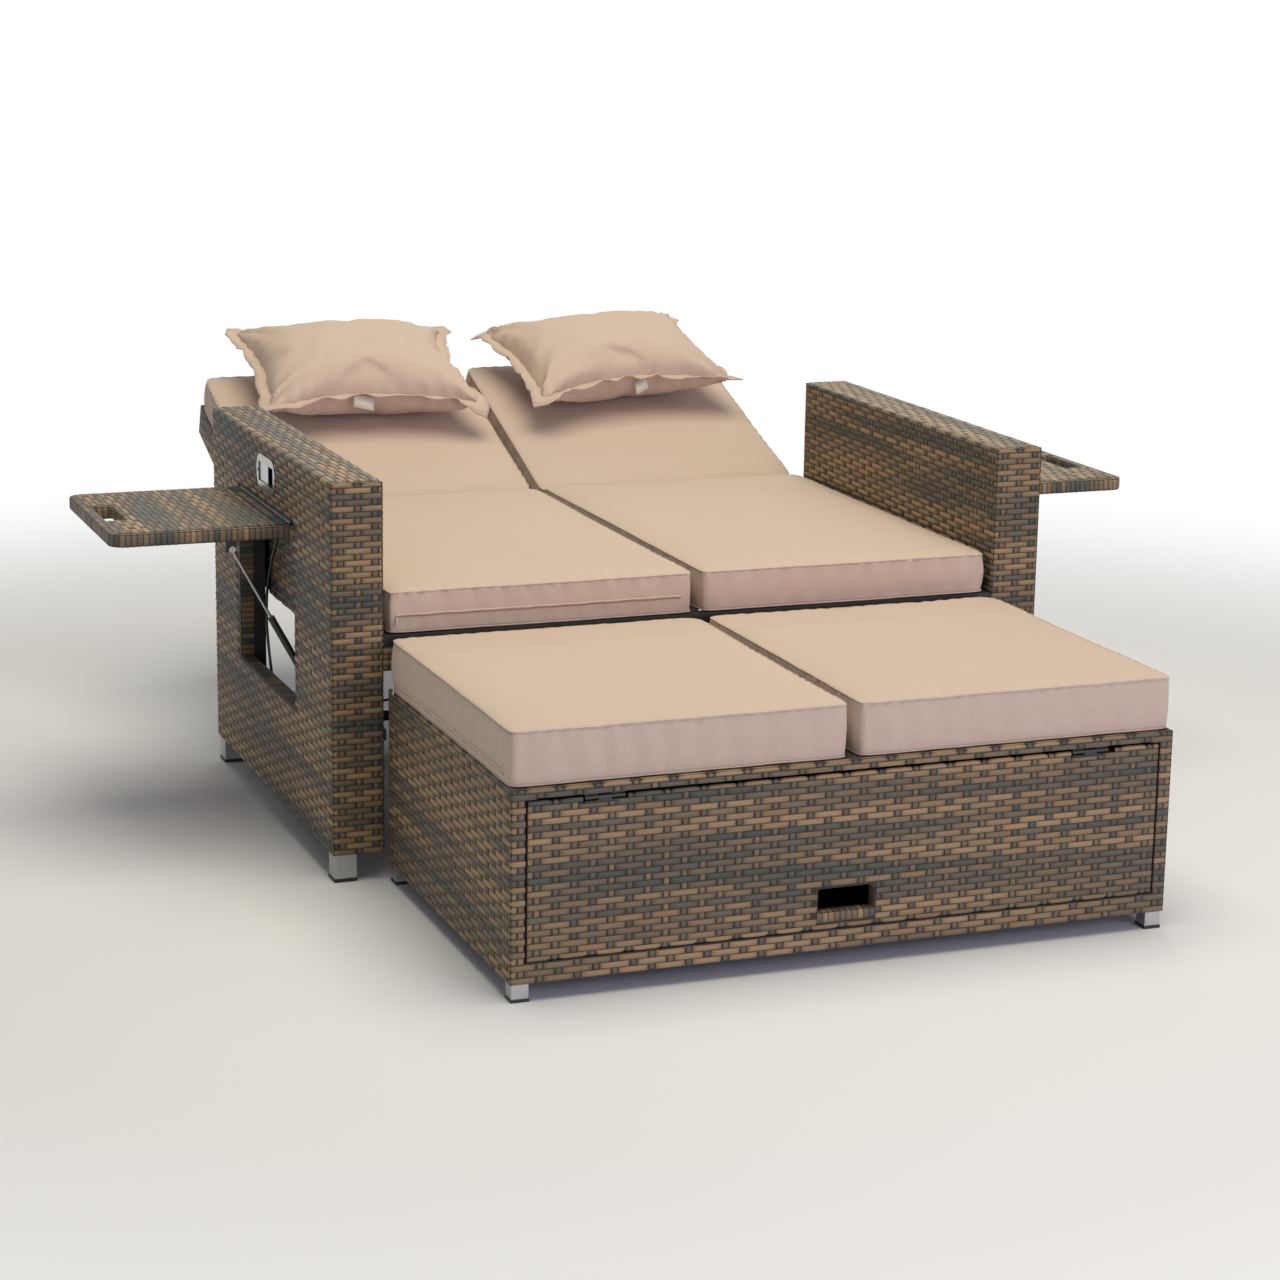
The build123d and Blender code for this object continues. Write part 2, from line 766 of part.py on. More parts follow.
def spring_bracket():
    """The plate under a back beside the gas spring's upper eye."""
    x = spring_x + spring_eye_width / 2 + contact_gap
    s = (spring_reach - spring_eye_radius * 2, spring_reach + spring_eye_radius * 2)
    with BuildPart(back_plane) as bracket:
        block((x, x + spring_eye_radius * 3), s, (panel_back - spring_plate, panel_back))
        block((x, x + spring_plate), inset(s, spring_eye_radius),
              (spring_n - spring_eye_radius, panel_back - spring_plate))
    return bracket.part


def spring_line():
    """The plane at a gas spring's foot with Z along the spring, and the spring's length."""
    head = back_plane.from_local_coords((spring_x, spring_reach, spring_n))
    foot = Vector(spring_x, spring_foot[0], spring_foot[1])
    line = head - foot
    return Plane(origin=foot, x_dir=(1, 0, 0), z_dir=line), line.length


def spring_cylinder():
    """The body of a back's locking gas spring, with its eye on the stretcher's pin."""
    place, length = spring_line()
    hollow = (spring_eye_radius * 2, spring_body_length)
    with BuildPart(place) as body:
        rod("X", 0, 0, 0, spring_eye_radius, spring_eye_width)
        block((-spring_eye_width / 2, spring_eye_width / 2),
              (-spring_eye_radius / 2, spring_eye_radius / 2), (0, spring_eye_radius * 2))
        rod("Z", 0, 0, (spring_eye_radius * 3 / 2 + spring_body_length) / 2, spring_body_radius,
            spring_body_length - spring_eye_radius * 3 / 2)
        rod("Z", 0, 0, (hollow[0] + hollow[1] - spring_guide) / 2,
            spring_body_radius - spring_rod_radius / 2, hollow[1] - spring_guide - hollow[0],
            Mode.SUBTRACT)
        rod("Z", 0, 0, spring_body_length, spring_rod_radius + running_gap, spring_guide * 3,
            Mode.SUBTRACT)
        rod("X", 0, 0, 0, spring_pin_radius + running_gap, spring_eye_width * 2, Mode.SUBTRACT)
    return body.part


def spring_rod():
    """The bright rod of a back's gas spring and its upper eye."""
    place, length = spring_line()
    travel = spring_travel()
    start = spring_body_length - travel - spring_guide * 3 / 2 - spring_rod_tail
    with BuildPart(place) as slider:
        rod("Z", 0, 0, (start + length) / 2, spring_rod_radius, length - start)
        rod("X", 0, 0, length, spring_eye_radius - contact_gap, spring_eye_width)
    return slider.part


def spring_travel():
    """How far the gas spring's rod comes out as the back rises."""
    angle = radians(rest_angle + back_travel)
    raised = (pivot[1] + spring_reach * cos(angle) - spring_n * sin(angle),
              pivot[2] + spring_reach * sin(angle) + spring_n * cos(angle))
    return hypot(raised[0] - spring_foot[0], raised[1] - spring_foot[1]) - spring_line()[1]


def stuffed_box(place, width, length, height, crown):
    """A box cushion with a crowned top and sides that draw in between its corners.

    place has its origin at the middle of the cushion's underside at the near end, its X across
    and its Y along the cushion. Seven sections across the cushion are joined into one body.
    """
    stations_share = (0, 0.07, 0.25, 0.5, 0.75, 0.93, 1)
    height_share = (0.1, 0.7, 0.95, 1, 0.95, 0.7, 0.1)
    narrow_share = (0.6, 0, 0.7, 1, 0.7, 0, 0.6)
    with BuildPart() as cushion:
        for station, rise, narrow in zip(stations_share, height_share, narrow_share):
            side = height - end_drop * (1 - rise)
            half = width / 2 - side_bulge - draw_in * narrow
            top = side + crown * rise
            origin = place.from_local_coords((0, length * station, 0))
            with BuildSketch(Plane(origin=origin, x_dir=place.x_dir, z_dir=-place.y_dir)):
                with BuildLine():
                    Line((-half, 0), (half, 0))
                    ThreePointArc((half, 0), (half + side_bulge, side / 2), (half, side))
                    ThreePointArc((half, side), (0, top), (-half, side))
                    ThreePointArc((-half, side), (-half - side_bulge, side / 2), (-half, 0))
                make_face()
        loft()
    return cushion.part


def seat_cushion():
    """A loose seat cushion, which the back's cushion pushes forward as the back rises."""
    place = Plane(origin=((cushion_middle_gap + cushion_outside) / 2,
                          front_y + seat_cushion_front, seat_top + contact_gap))
    return stuffed_box(place, cushion_outside - cushion_middle_gap,
                       seat_cushion_end - seat_cushion_front, cushion_height, seat_crown)


def back_cushion():
    """A back cushion on the woven face of a back."""
    place = Plane(origin=back_plane.from_local_coords(
        ((cushion_middle_gap + back_cushion_outside) / 2, back_cushion_start,
         panel_face + contact_gap)), x_dir=back_plane.x_dir, z_dir=back_plane.z_dir)
    return stuffed_box(place, back_cushion_outside - cushion_middle_gap,
                       back_cushion_end - back_cushion_start, cushion_height, back_crown)


def stool_cushion():
    """A cushion on the ottoman's top."""
    place = Plane(origin=((cushion_middle_gap + stool_width / 2) / 2,
                          stool_front, stool_height + contact_gap))
    return stuffed_box(place, stool_width / 2 - cushion_middle_gap,
                       stool_depth + stool_cushion_overhang, stool_cushion_height, stool_crown)


def pillow(x, turn):
    """A flanged scatter pillow, plump in the middle and thin all round."""
    low = panel_face + contact_gap + cushion_height + back_crown - pillow_settle
    middle = back_plane.from_local_coords((x, pillow_place, low))
    flat = Plane(origin=middle, x_dir=back_plane.x_dir, z_dir=back_plane.z_dir)
    turned = flat.rotated((0, 0, turn))
    stations_share = (-0.5, -0.42, -0.3, -0.15, 0, 0.15, 0.3, 0.42, 0.5)
    fullness_share = (0, 0.04, 0.6, 0.9, 1, 0.9, 0.6, 0.04, 0)
    with BuildPart() as stuffed:
        for station, full in zip(stations_share, fullness_share):
            half = pillow_width / 2
            lift = pillow_thickness / 2
            edge = pillow_edge / 2
            swell = edge + (lift - edge) * full
            origin = turned.from_local_coords((0, pillow_length * station, 0))
            with BuildSketch(Plane(origin=origin, x_dir=turned.x_dir, z_dir=-turned.y_dir)):
                with BuildLine():
                    ThreePointArc((-half, lift - edge), (0, lift - swell - edge * (1 - full) / 2),
                                  (half, lift - edge))
                    Line((half, lift - edge), (half, lift + edge))
                    ThreePointArc((half, lift + edge), (0, lift + swell + edge * (1 - full) / 2),
                                  (-half, lift + edge))
                    Line((-half, lift + edge), (-half, lift - edge))
                make_face()
        loft()
    return stuffed.part


stool_x = (-stool_width / 2, stool_width / 2)
stool_y = (stool_front, stool_back)
stool_z = (stool_underside, stool_height)
flap_x = (-flap_width / 2, flap_width / 2)
flap_y = (stool_front, stool_front + flap_thickness)
flap_z = (flap_bottom, flap_top)
flap_axis = (stool_front + hinge_radius, flap_top + flap_hinge_rise)
flap_slot_x = (flap_slot_left, flap_slot_left + flap_slot_width)
flap_slot_z = (flap_slot_bottom, flap_slot_bottom + flap_slot_height)
mouth_x = inset(flap_x, -flap_side_gap)
mouth_z = (flap_bottom - flap_side_gap, flap_top + flap_rail_gap)


def stool_wicker():
    """The woven skin of the ottoman, open below and at the flap."""
    with BuildPart() as shell:
        block(stool_x, stool_y, stool_z)
        block(inset(stool_x, skin), inset(stool_y, skin), (stool_underside - cut, stool_height - skin),
              Mode.SUBTRACT)
        block(mouth_x, (stool_front - cut, stool_front + skin + cut), mouth_z, Mode.SUBTRACT)
    return shell.part


def stool_frame():
    """The tube frame inside the ottoman, with bars across its top and round the flap."""
    x = inset(stool_x, skin)
    y = inset(stool_y, skin)
    z = (stool_underside, stool_height - skin)
    ends_x = ((x[0], x[0] + stool_tube), (x[1] - stool_tube, x[1]))
    ends_y = ((y[0], y[0] + stool_tube), (y[1] - stool_tube, y[1]))
    low = (z[0], z[0] + stool_tube)
    high = (z[1] - stool_tube, z[1])
    members = [(across, along, z) for across in ends_x for along in ends_y]
    members += [(across, y, up) for across in ends_x for up in (low, high)]
    members += [(x, along, low) for along in ends_y]
    members += [(x, ends_y[1], high), (x, ends_y[0], (mouth_z[1], z[1]))]
    members += [((middle - stool_tube / 2, middle + stool_tube / 2), y, up)
                for middle in spaced(x[0], x[1], stool_cross_count)
                for up in (low, (mouth_z[1], z[1]))]
    with BuildPart() as frame:
        tubes(members)
    return frame.part


def stool_floor():
    """The floor of the ottoman's storage space, on the lower tubes."""
    inner = skin + stool_tube + floor_clearance
    z = stool_underside + stool_tube
    with BuildPart() as panel:
        block(inset(stool_x, inner), inset(stool_y, inner), (z, z + floor_panel))
    return panel.part


def flap_wicker():
    """The woven skin of the ottoman's front flap, with the hand slot through it."""
    with BuildPart() as shell:
        block(flap_x, flap_y, flap_z)
        block(inset(flap_x, flap_skin), inset(flap_y, flap_skin), inset(flap_z, flap_skin),
              Mode.SUBTRACT)
        block(inset(flap_slot_x, -flap_skin), flap_y, inset(flap_slot_z, -flap_skin))
        block(flap_slot_x, inset(flap_y, -cut), flap_slot_z, Mode.SUBTRACT)
        for side in (-1, 1):
            block((side * flap_hinge_x - flap_hinge_length / 2 - flap_skin,
                   side * flap_hinge_x + flap_hinge_length / 2 + flap_skin),
                  (stool_front - cut, stool_front + hinge_radius * 2 + flap_skin),
                  (flap_top - hinge_leaf, flap_top + cut), Mode.SUBTRACT)
    return shell.part


def flap_frame():
    """The flat tube frame inside the flap: a rim, and a box of tubes round the hand slot."""
    x = inset(flap_x, flap_skin)
    y = inset(flap_y, flap_skin)
    z = inset(flap_z, flap_skin)
    with BuildPart() as frame:
        for across in ((x[0], x[0] + flap_tube), (x[1] - flap_tube, x[1]),
                       (flap_slot_x[0] - flap_skin - flap_tube, flap_slot_x[0] - flap_skin),
                       (flap_slot_x[1] + flap_skin, flap_slot_x[1] + flap_skin + flap_tube)):
            block(across, y, z)
        for side in (-1, 1):
            middle = side * (flap_hinge_x + flap_slot_x[1]) / 2
            block((middle - flap_tube / 2, middle + flap_tube / 2), y, z)
        for up in ((z[0], z[0] + flap_tube), (z[1] - flap_tube, z[1])):
            block(x, y, up)
        block(x, y, (flap_slot_z[1] + flap_skin, flap_slot_z[1] + flap_skin + flap_tube))
        block(inset(flap_slot_x, -flap_skin), inset(flap_y, -cut), inset(flap_slot_z, -flap_skin),
              Mode.SUBTRACT)
    return frame.part


def flap_knuckles(x, own):
    """Barrel stretches of one flap hinge: its ends are fixed and its middle moves."""
    third = flap_hinge_length / 3
    low = x - flap_hinge_length / 2
    parts = ((low, low + third), (low + third, low + third * 2), (low + third * 2, low + third * 3))
    return [inset(span, knuckle_gap / 2) for i, span in enumerate(parts) if i % 2 == own]


def flap_hinge_fixed():
    """The fixed leaves of the flap's two hinges, under the top rail, with their pins."""
    with BuildPart() as leaves:
        for side in (-1, 1):
            x = side * flap_hinge_x
            whole = (x - flap_hinge_length / 2, x + flap_hinge_length / 2)
            block(whole, (flap_axis[0], flap_axis[0] + hinge_leaf_width),
                  (mouth_z[1] - hinge_leaf, mouth_z[1]))
            for span in flap_knuckles(x, 0):
                rod("X", sum(span) / 2, flap_axis[0], flap_axis[1], hinge_radius, span[1] - span[0])
                block(span, (flap_axis[0], flap_axis[0] + hinge_radius), (flap_axis[1], mouth_z[1]))
            rod("X", x, flap_axis[0], flap_axis[1], hinge_pin_radius, flap_hinge_length)
    return leaves.part


def flap_hinge_moving():
    """The moving leaves of the flap's hinges, let into the flap's top edge."""
    with BuildPart() as leaves:
        for side in (-1, 1):
            x = side * flap_hinge_x
            whole = (x - flap_hinge_length / 2, x + flap_hinge_length / 2)
            block(whole, (stool_front, stool_front + hinge_radius * 2), (flap_top - hinge_leaf, flap_top))
            for span in flap_knuckles(x, 1):
                rod("X", sum(span) / 2, flap_axis[0], flap_axis[1], hinge_radius, span[1] - span[0])
                block(span, (stool_front, stool_front + hinge_radius), (flap_top - hinge_leaf, flap_axis[1]))
            rod("X", x, flap_axis[0], flap_axis[1], hinge_pin_radius + running_gap,
                flap_hinge_length + cut, Mode.SUBTRACT)
    return leaves.part


def main():
    os.makedirs("parts", exist_ok=True)
    save_pair(arm_wicker(), "arm_wicker")
    save_pair(arm_frame(), "arm_frame")
    foot_x = arm_out - foot_inset - foot_width / 2
    foot_ys = (front_y + foot_inset + foot_width / 2, rear_y - foot_inset - foot_width / 2)
    save(corner_feet((-foot_x, foot_x), foot_ys, foot_width, glide_height, arm_underside), "sofa_feet")
    save(corner_feet((-foot_x, foot_x), foot_ys, foot_width + glide_lip * 2, 0, glide_height),
         "sofa_foot_glides")
    save(seat_frame(), "seat_frame")
    save(seat_slats(), "seat_slats")
    save(apron_wicker(), "seat_apron_wicker")
    save(frame_bolts(), "seat_frame_bolts")
    save(pivot_pins(), "back_pivot_pins")
    save(rear_stretcher(), "rear_stretcher")
    save(guide_pads(), "ottoman_guide_pads")
    save(table_hinge_fixed(), "table_hinge_fixed_leaves")
    save_pair(table_hinge_moving(), "table_hinge_moving_leaf")
    save_pair(table_wicker(), "table_wicker")
    save_pair(table_frame(), "table_frame")
    save_pair(strut_cylinder(), "table_strut_cylinder")
    save_pair(strut_rod(), "table_strut_rod")
    save(strut_foot_brackets(), "strut_foot_brackets")
    save_pair(strut_head_bracket(), "strut_head_bracket")
    save_pair(release_cup(), "release_cup")
    save_pair(release_paddle(), "release_paddle")
    save(cup_screws(), "release_cup_screws")
    save(release_cables(), "release_cables")
    save_pair(back_wicker(), "back_wicker")
    save_pair(back_frame(), "back_frame")
    save_pair(spring_bracket(), "back_spring_bracket")
    save_pair(spring_cylinder(), "back_spring_cylinder")
    save_pair(spring_rod(), "back_spring_rod")
    save_pair(seat_cushion(), "seat_cushion")
    save_pair(back_cushion(), "back_cushion")
    save(pillow(-pillow_x, left_pillow_turn), "pillow_left")
    save(pillow(pillow_x, right_pillow_turn), "pillow_right")
    save(stool_wicker(), "ottoman_wicker")
    save(stool_frame(), "ottoman_frame")
    save(stool_floor(), "ottoman_floor")
    stool_foot_x = stool_width / 2 - foot_inset - stool_foot_width / 2
    stool_foot_ys = (stool_front + foot_inset + stool_foot_width / 2,
                     stool_back - foot_inset - stool_foot_width / 2)
    save(corner_feet((-stool_foot_x, stool_foot_x), stool_foot_ys, stool_foot_width,
                     stool_glide, stool_underside), "ottoman_feet")
    save(corner_feet((-stool_foot_x, stool_foot_x), stool_foot_ys,
                     stool_foot_width + glide_lip * 2, 0, stool_glide), "ottoman_foot_glides")
    save_pair(stool_cushion(), "ottoman_cushion")
    save(flap_wicker(), "ottoman_flap_wicker")
    save(flap_frame(), "ottoman_flap_frame")
    save(flap_hinge_fixed(), "flap_hinge_fixed_leaves")
    save(flap_hinge_moving(), "flap_hinge_moving_leaves")
    print("back spring travel", round(spring_travel(), 1))


main()
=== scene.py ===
"""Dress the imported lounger: woven skins, cushions, pillows, finishes and a studio."""

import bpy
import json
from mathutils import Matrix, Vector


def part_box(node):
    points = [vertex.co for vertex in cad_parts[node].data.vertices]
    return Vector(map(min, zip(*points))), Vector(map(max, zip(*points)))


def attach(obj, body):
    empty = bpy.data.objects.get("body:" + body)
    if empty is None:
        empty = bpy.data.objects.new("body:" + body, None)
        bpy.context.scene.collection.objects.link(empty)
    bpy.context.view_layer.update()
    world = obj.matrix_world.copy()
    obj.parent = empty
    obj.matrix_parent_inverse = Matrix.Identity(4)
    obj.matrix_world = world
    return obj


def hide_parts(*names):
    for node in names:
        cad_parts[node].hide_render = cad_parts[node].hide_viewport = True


bl_info = {
    "name": "Double chaise lounger",
    "version": (1, 0, 0),
    "blender": (4, 5, 0),
    "location": "View3D > Sidebar > Lounger",
    "description": "Weaves, upholsters and finishes a two-seat garden lounger with its ottoman",
    "category": "Object",
}

import json
import math

import bmesh
import bpy
import numpy as np
from bpy.props import FloatProperty, IntProperty, PointerProperty, StringProperty
from mathutils import Matrix, Vector

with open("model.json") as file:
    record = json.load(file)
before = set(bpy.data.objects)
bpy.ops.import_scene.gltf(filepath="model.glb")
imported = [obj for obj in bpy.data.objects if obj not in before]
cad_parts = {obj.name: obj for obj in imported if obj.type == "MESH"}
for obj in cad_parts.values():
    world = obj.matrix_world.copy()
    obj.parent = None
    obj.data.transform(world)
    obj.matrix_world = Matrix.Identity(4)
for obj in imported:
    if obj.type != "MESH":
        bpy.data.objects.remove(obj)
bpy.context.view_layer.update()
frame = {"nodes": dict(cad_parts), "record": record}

MATH = "ShaderNodeMath"
VECTOR = "ShaderNodeVectorMath"
SIDES = (("right", 1), ("left", -1))

# The pivots of the backs, and how far the backs lean up from flat at rest.
BACK_PIVOT = (0, 0.43418, 0.375)
BACK_LEAN = math.radians(20)

# Where the camera of the photo view stands, and what the lamps aim at.
CAMERA_PLACE = (-1.846, -4.829, 1.504)
LAMP_AIM = (0, -0.2, 0.35)

# The weave of a ring starts half-way round its first corner, at this share of the radius. Where
# a section would end in an arc, it goes on for a stub.
HALF_CORNER = 0.78
STUB = 1e-5


class WeaveSettings(bpy.types.PropertyGroup):
    """Sizes and colours of the woven skins."""

    row_pitch: FloatProperty(name="Row pitch", description="Height of one woven row",
                             default=0.0097, unit="LENGTH", subtype="DISTANCE")
    warp_pitch: FloatProperty(name="Warp pitch", description="Distance between upright strands",
                              default=0.0283, unit="LENGTH", subtype="DISTANCE")
    rise: FloatProperty(name="Rise", description="How far a strand stands out of the skin",
                        default=0.0021, unit="LENGTH", subtype="DISTANCE")
    edge_rise: FloatProperty(name="Edge rise", description="How far an edge strand stands out",
                             default=0.0011, unit="LENGTH", subtype="DISTANCE")
    edge_round: FloatProperty(name="Edge round", default=0.005, unit="LENGTH", subtype="DISTANCE",
                              description="Radius that the weave turns over an edge with")
    seed: IntProperty(name="Seed", description="Start of the drifting strand colours", default=7)
    dark_strand: StringProperty(name="Dark strand", description="Darkest strand colour",
                                default="#4E524C")
    grey_strand: StringProperty(name="Grey strand", description="Grey-brown strand colour",
                                default="#675F55")
    tan_strand: StringProperty(name="Tan strand", description="Tan strand colour",
                               default="#8C775E")
    pale_strand: StringProperty(name="Pale strand", description="Palest strand colour",
                                default="#A0886B")
    # Painted shade: the dark colour put between and under the strands, where their shade falls.
    core: StringProperty(name="Core", description="Shade between the strands", default="#1F1B16")


class CushionSettings(bpy.types.PropertyGroup):
    """Sizes and colours of the cushions and the pillows."""

    cell: FloatProperty(name="Cell", description="Mesh size of the cloth", default=0.013,
                        unit="LENGTH", subtype="DISTANCE")
    swell: FloatProperty(name="Swell", description="Most that the stuffing may push the cloth out",
                         default=0.006, unit="LENGTH", subtype="DISTANCE")
    welt: FloatProperty(name="Welt", description="Radius of the seam's welt", default=0.0011,
                        unit="LENGTH", subtype="DISTANCE")
    flange: FloatProperty(name="Flange", description="Width of a pillow's flange", default=0.022,
                          unit="LENGTH", subtype="DISTANCE")
    thread: FloatProperty(name="Thread", description="Thread spacing as drawn", default=0.0019,
                          unit="LENGTH", subtype="DISTANCE")
    cloth: StringProperty(name="Cloth", description="Cushion cloth colour", default="#D1BFB5")
    cloth_shade: StringProperty(name="Cloth shade", description="Colour between the threads",
                                default="#B7A297")


class MetalSettings(bpy.types.PropertyGroup):
    """Colours of the metal and moulded pieces."""

    coat: StringProperty(name="Coat", description="Black powder coat", default="#1C1C1D")
    foot: StringProperty(name="Foot", description="Brushed aluminium", default="#C9CACB")
    chrome: StringProperty(name="Chrome", description="Polished chrome", default="#8F8D88")
    steel: StringProperty(name="Steel", description="Ground bright steel", default="#9C9C9A")
    nylon: StringProperty(name="Nylon", description="Black nylon and rubber", default="#141414")


class StageSettings(bpy.types.PropertyGroup):
    """The camera and the studio."""

    lens: FloatProperty(name="Lens", description="Focal length in millimetres", default=84.608)
    heading: FloatProperty(name="Heading", description="Camera's turn from the rear direction",
                           default=math.radians(21.28), unit="ROTATION", subtype="ANGLE")
    tilt: FloatProperty(name="Tilt", description="Camera's look down",
                        default=math.radians(13.34), unit="ROTATION", subtype="ANGLE")
    roll: FloatProperty(name="Roll", description="Camera's roll", default=math.radians(0.92),
                        unit="ROTATION", subtype="ANGLE")
    floor: StringProperty(name="Floor", description="Floor colour", default="#E9EDF8")


# ---------------------------------------------------------------- nodes and materials


def linear(code):
    """Turn an sRGB hex colour into linear RGBA."""
    values = [int(code[i:i + 2], 16) / 255 for i in (1, 3, 5)]
    return tuple(v / 12.92 if v <= 0.04045 else ((v + 0.055) / 1.055) ** 2.4
                 for v in values) + (1.0,)


def add(tree, kind, inputs=(), **settings):
    """Add a node with its settings, and set or link its inputs by name or by place."""
    node = tree.nodes.new(kind)
    node.location = (190 * (len(tree.nodes) // 7), -170 * (len(tree.nodes) % 7))
    for key, value in settings.items():
        setattr(node, key, value)
    for key, value in inputs.items() if isinstance(inputs, dict) else enumerate(inputs):
        if isinstance(value, bpy.types.Node):
            value = value.outputs[0]
        if isinstance(value, bpy.types.NodeSocket):
            tree.links.new(value, node.inputs[key])
        elif value is not None:
            node.inputs[key].default_value = value
    return node


def new_material(name):
    """A node material with an empty tree but for its output."""
    material = bpy.data.materials.new(name)
    material.use_nodes = True
    tree = material.node_tree
    tree.nodes.clear()
    return material, tree


def finish_material(material, tree, shader):
    """Link the shader to the material's output."""
    add(tree, "ShaderNodeOutputMaterial", {"Surface": shader})
    return material


def made(name, maker, *values):
    """A material by its name, which its maker makes the first time."""
    return bpy.data.materials.get(name) or maker(name, *values)


def strand_material(name):
    """Extruded polyethylene strand: satin, streaked along its length, in drifting colours."""
    weave = bpy.context.scene.lounger_weave
    material, tree = new_material(name)
    tone = add(tree, "ShaderNodeAttribute", attribute_name="tone").outputs["Fac"]
    flat = add(tree, "ShaderNodeAttribute", attribute_name="flat").outputs["Vector"]
    local = add(tree, "ShaderNodeAttribute", attribute_name="local").outputs["Vector"]
    # Streaks of the extrusion, about 1 mm wide and 60 mm long.
    grain = add(tree, VECTOR, (flat, (16.0, 900.0, 40.0)), operation="MULTIPLY")
    streak = add(tree, "ShaderNodeTexNoise", {"Vector": grain, "Scale": 1.0, "Detail": 3.0})
    speck = add(tree, MATH, (streak, -0.5), operation="ADD")
    mixed = add(tree, MATH, (speck, 0.32, tone), operation="MULTIPLY_ADD")
    ramp = add(tree, "ShaderNodeValToRGB", {"Fac": mixed})
    stops = ramp.color_ramp.elements
    stops[0].position, stops[0].color = 0.08, linear(weave.dark_strand)
    stops[1].position, stops[1].color = 0.95, linear(weave.pale_strand)
    for place, code in ((0.36, weave.grey_strand), (0.68, weave.tan_strand)):
        stop = stops.new(place)
        stop.color = linear(code)
    # Painted shade: the strands darken towards their ends and sides, where they meet their
    # neighbours.
    apart = add(tree, "ShaderNodeSeparateXYZ", (local,))
    end = add(tree, MATH, (apart.outputs[0], 8.0), operation="POWER")
    end = add(tree, MATH, (end,), operation="ABSOLUTE")
    side = add(tree, MATH, (apart.outputs[1], 5.0), operation="POWER")
    side = add(tree, MATH, (side,), operation="ABSOLUTE")
    shade = add(tree, MATH, (end, side), operation="MAXIMUM")
    shade = add(tree, MATH, (shade, 0.9), operation="MULTIPLY")
    colour = add(tree, "ShaderNodeMix", {0: shade, 6: ramp, 7: linear(weave.core)},
                 data_type="RGBA")
    bump = add(tree, "ShaderNodeBump", {"Strength": 0.35, "Distance": 0.0004, "Height": streak})
    rough = add(tree, "ShaderNodeMapRange", {"Value": streak, "To Min": 0.42, "To Max": 0.62})
    shader = add(tree, "ShaderNodeBsdfPrincipled", {
        "Base Color": colour.outputs[2], "Roughness": rough, "Specular IOR Level": 0.22,
        "Normal": bump})
    return finish_material(material, tree, shader)


def painted_shade_material(name):
    """Painted shade of the crossing strands seen between the outer ones: a dark, dull bed in soft
    uneven ridges.

    The ridges are 30 mm apart, about three rows, as finer ones don't show between the strands.
    """
    weave = bpy.context.scene.lounger_weave
    material, tree = new_material(name)
    place = add(tree, "ShaderNodeTexCoord").outputs["Object"]
    rows = add(tree, "ShaderNodeTexWave", {
        "Vector": place, "Scale": 0.1 / weave.row_pitch, "Distortion": 0.6, "Detail": 1.0,
        "Detail Scale": 40.0}, wave_type="BANDS", bands_direction="Z")
    blot = add(tree, "ShaderNodeTexNoise", {"Vector": place, "Scale": 60.0, "Detail": 2.0})
    colour = add(tree, "ShaderNodeMix", {0: blot, 6: linear(weave.core), 7: linear("#3B342B")},
                 data_type="RGBA")
    bump = add(tree, "ShaderNodeBump", {"Strength": 0.6, "Distance": 0.001, "Height": rows})
    shader = add(tree, "ShaderNodeBsdfPrincipled", {
        "Base Color": colour.outputs[2], "Roughness": 0.75, "Normal": bump})
    return finish_material(material, tree, shader)


def cloth_material(name):
    """Plain-woven outdoor polyester: matt, soft sheen, threads drawn coarser than they are."""
    cushion = bpy.context.scene.lounger_cushion
    material, tree = new_material(name)
    place = add(tree, "ShaderNodeUVMap", uv_map="Cloth")
    grid = add(tree, VECTOR, (place, (math.pi / cushion.thread,) * 3), operation="MULTIPLY")
    wobble = add(tree, "ShaderNodeTexNoise", {"Vector": place, "Scale": 220.0, "Detail": 2.0})
    shift = add(tree, VECTOR, (wobble.outputs["Color"], (0.9,) * 3, grid), operation="MULTIPLY_ADD")
    apart = add(tree, "ShaderNodeSeparateXYZ", (shift,))
    over = add(tree, MATH, (apart.outputs[0],), operation="SINE")
    under = add(tree, MATH, (apart.outputs[1],), operation="SINE")
    weave = add(tree, MATH, (over, under), operation="MULTIPLY")
    weave = add(tree, MATH, (weave, 0.5, 0.5), operation="MULTIPLY_ADD")
    large = add(tree, "ShaderNodeTexNoise", {"Vector": place, "Scale": 7.0, "Detail": 3.0})
    slub = add(tree, "ShaderNodeTexNoise", {
        "Vector": add(tree, VECTOR, (place, (900.0, 45.0, 1.0)), operation="MULTIPLY"),
        "Scale": 1.0, "Detail": 1.0})
    shade = add(tree, MATH, (weave, 0.30), operation="MULTIPLY")
    shade = add(tree, MATH, (slub, 0.16, shade), operation="MULTIPLY_ADD")
    shade = add(tree, MATH, (large, 0.14, shade), operation="MULTIPLY_ADD")
    colour = add(tree, "ShaderNodeMix", {0: shade, 6: linear(cushion.cloth),
                                         7: linear(cushion.cloth_shade)}, data_type="RGBA")
    height = add(tree, MATH, (slub, 0.5, weave), operation="MULTIPLY_ADD")
    bump = add(tree, "ShaderNodeBump", {"Strength": 0.45, "Distance": 0.0005, "Height": height})
    shader = add(tree, "ShaderNodeBsdfPrincipled", {
        "Base Color": colour.outputs[2], "Roughness": 0.9, "Sheen Weight": 0.12,
        "Sheen Roughness": 0.5, "Specular IOR Level": 0.25, "Normal": bump})
    return finish_material(material, tree, shader)


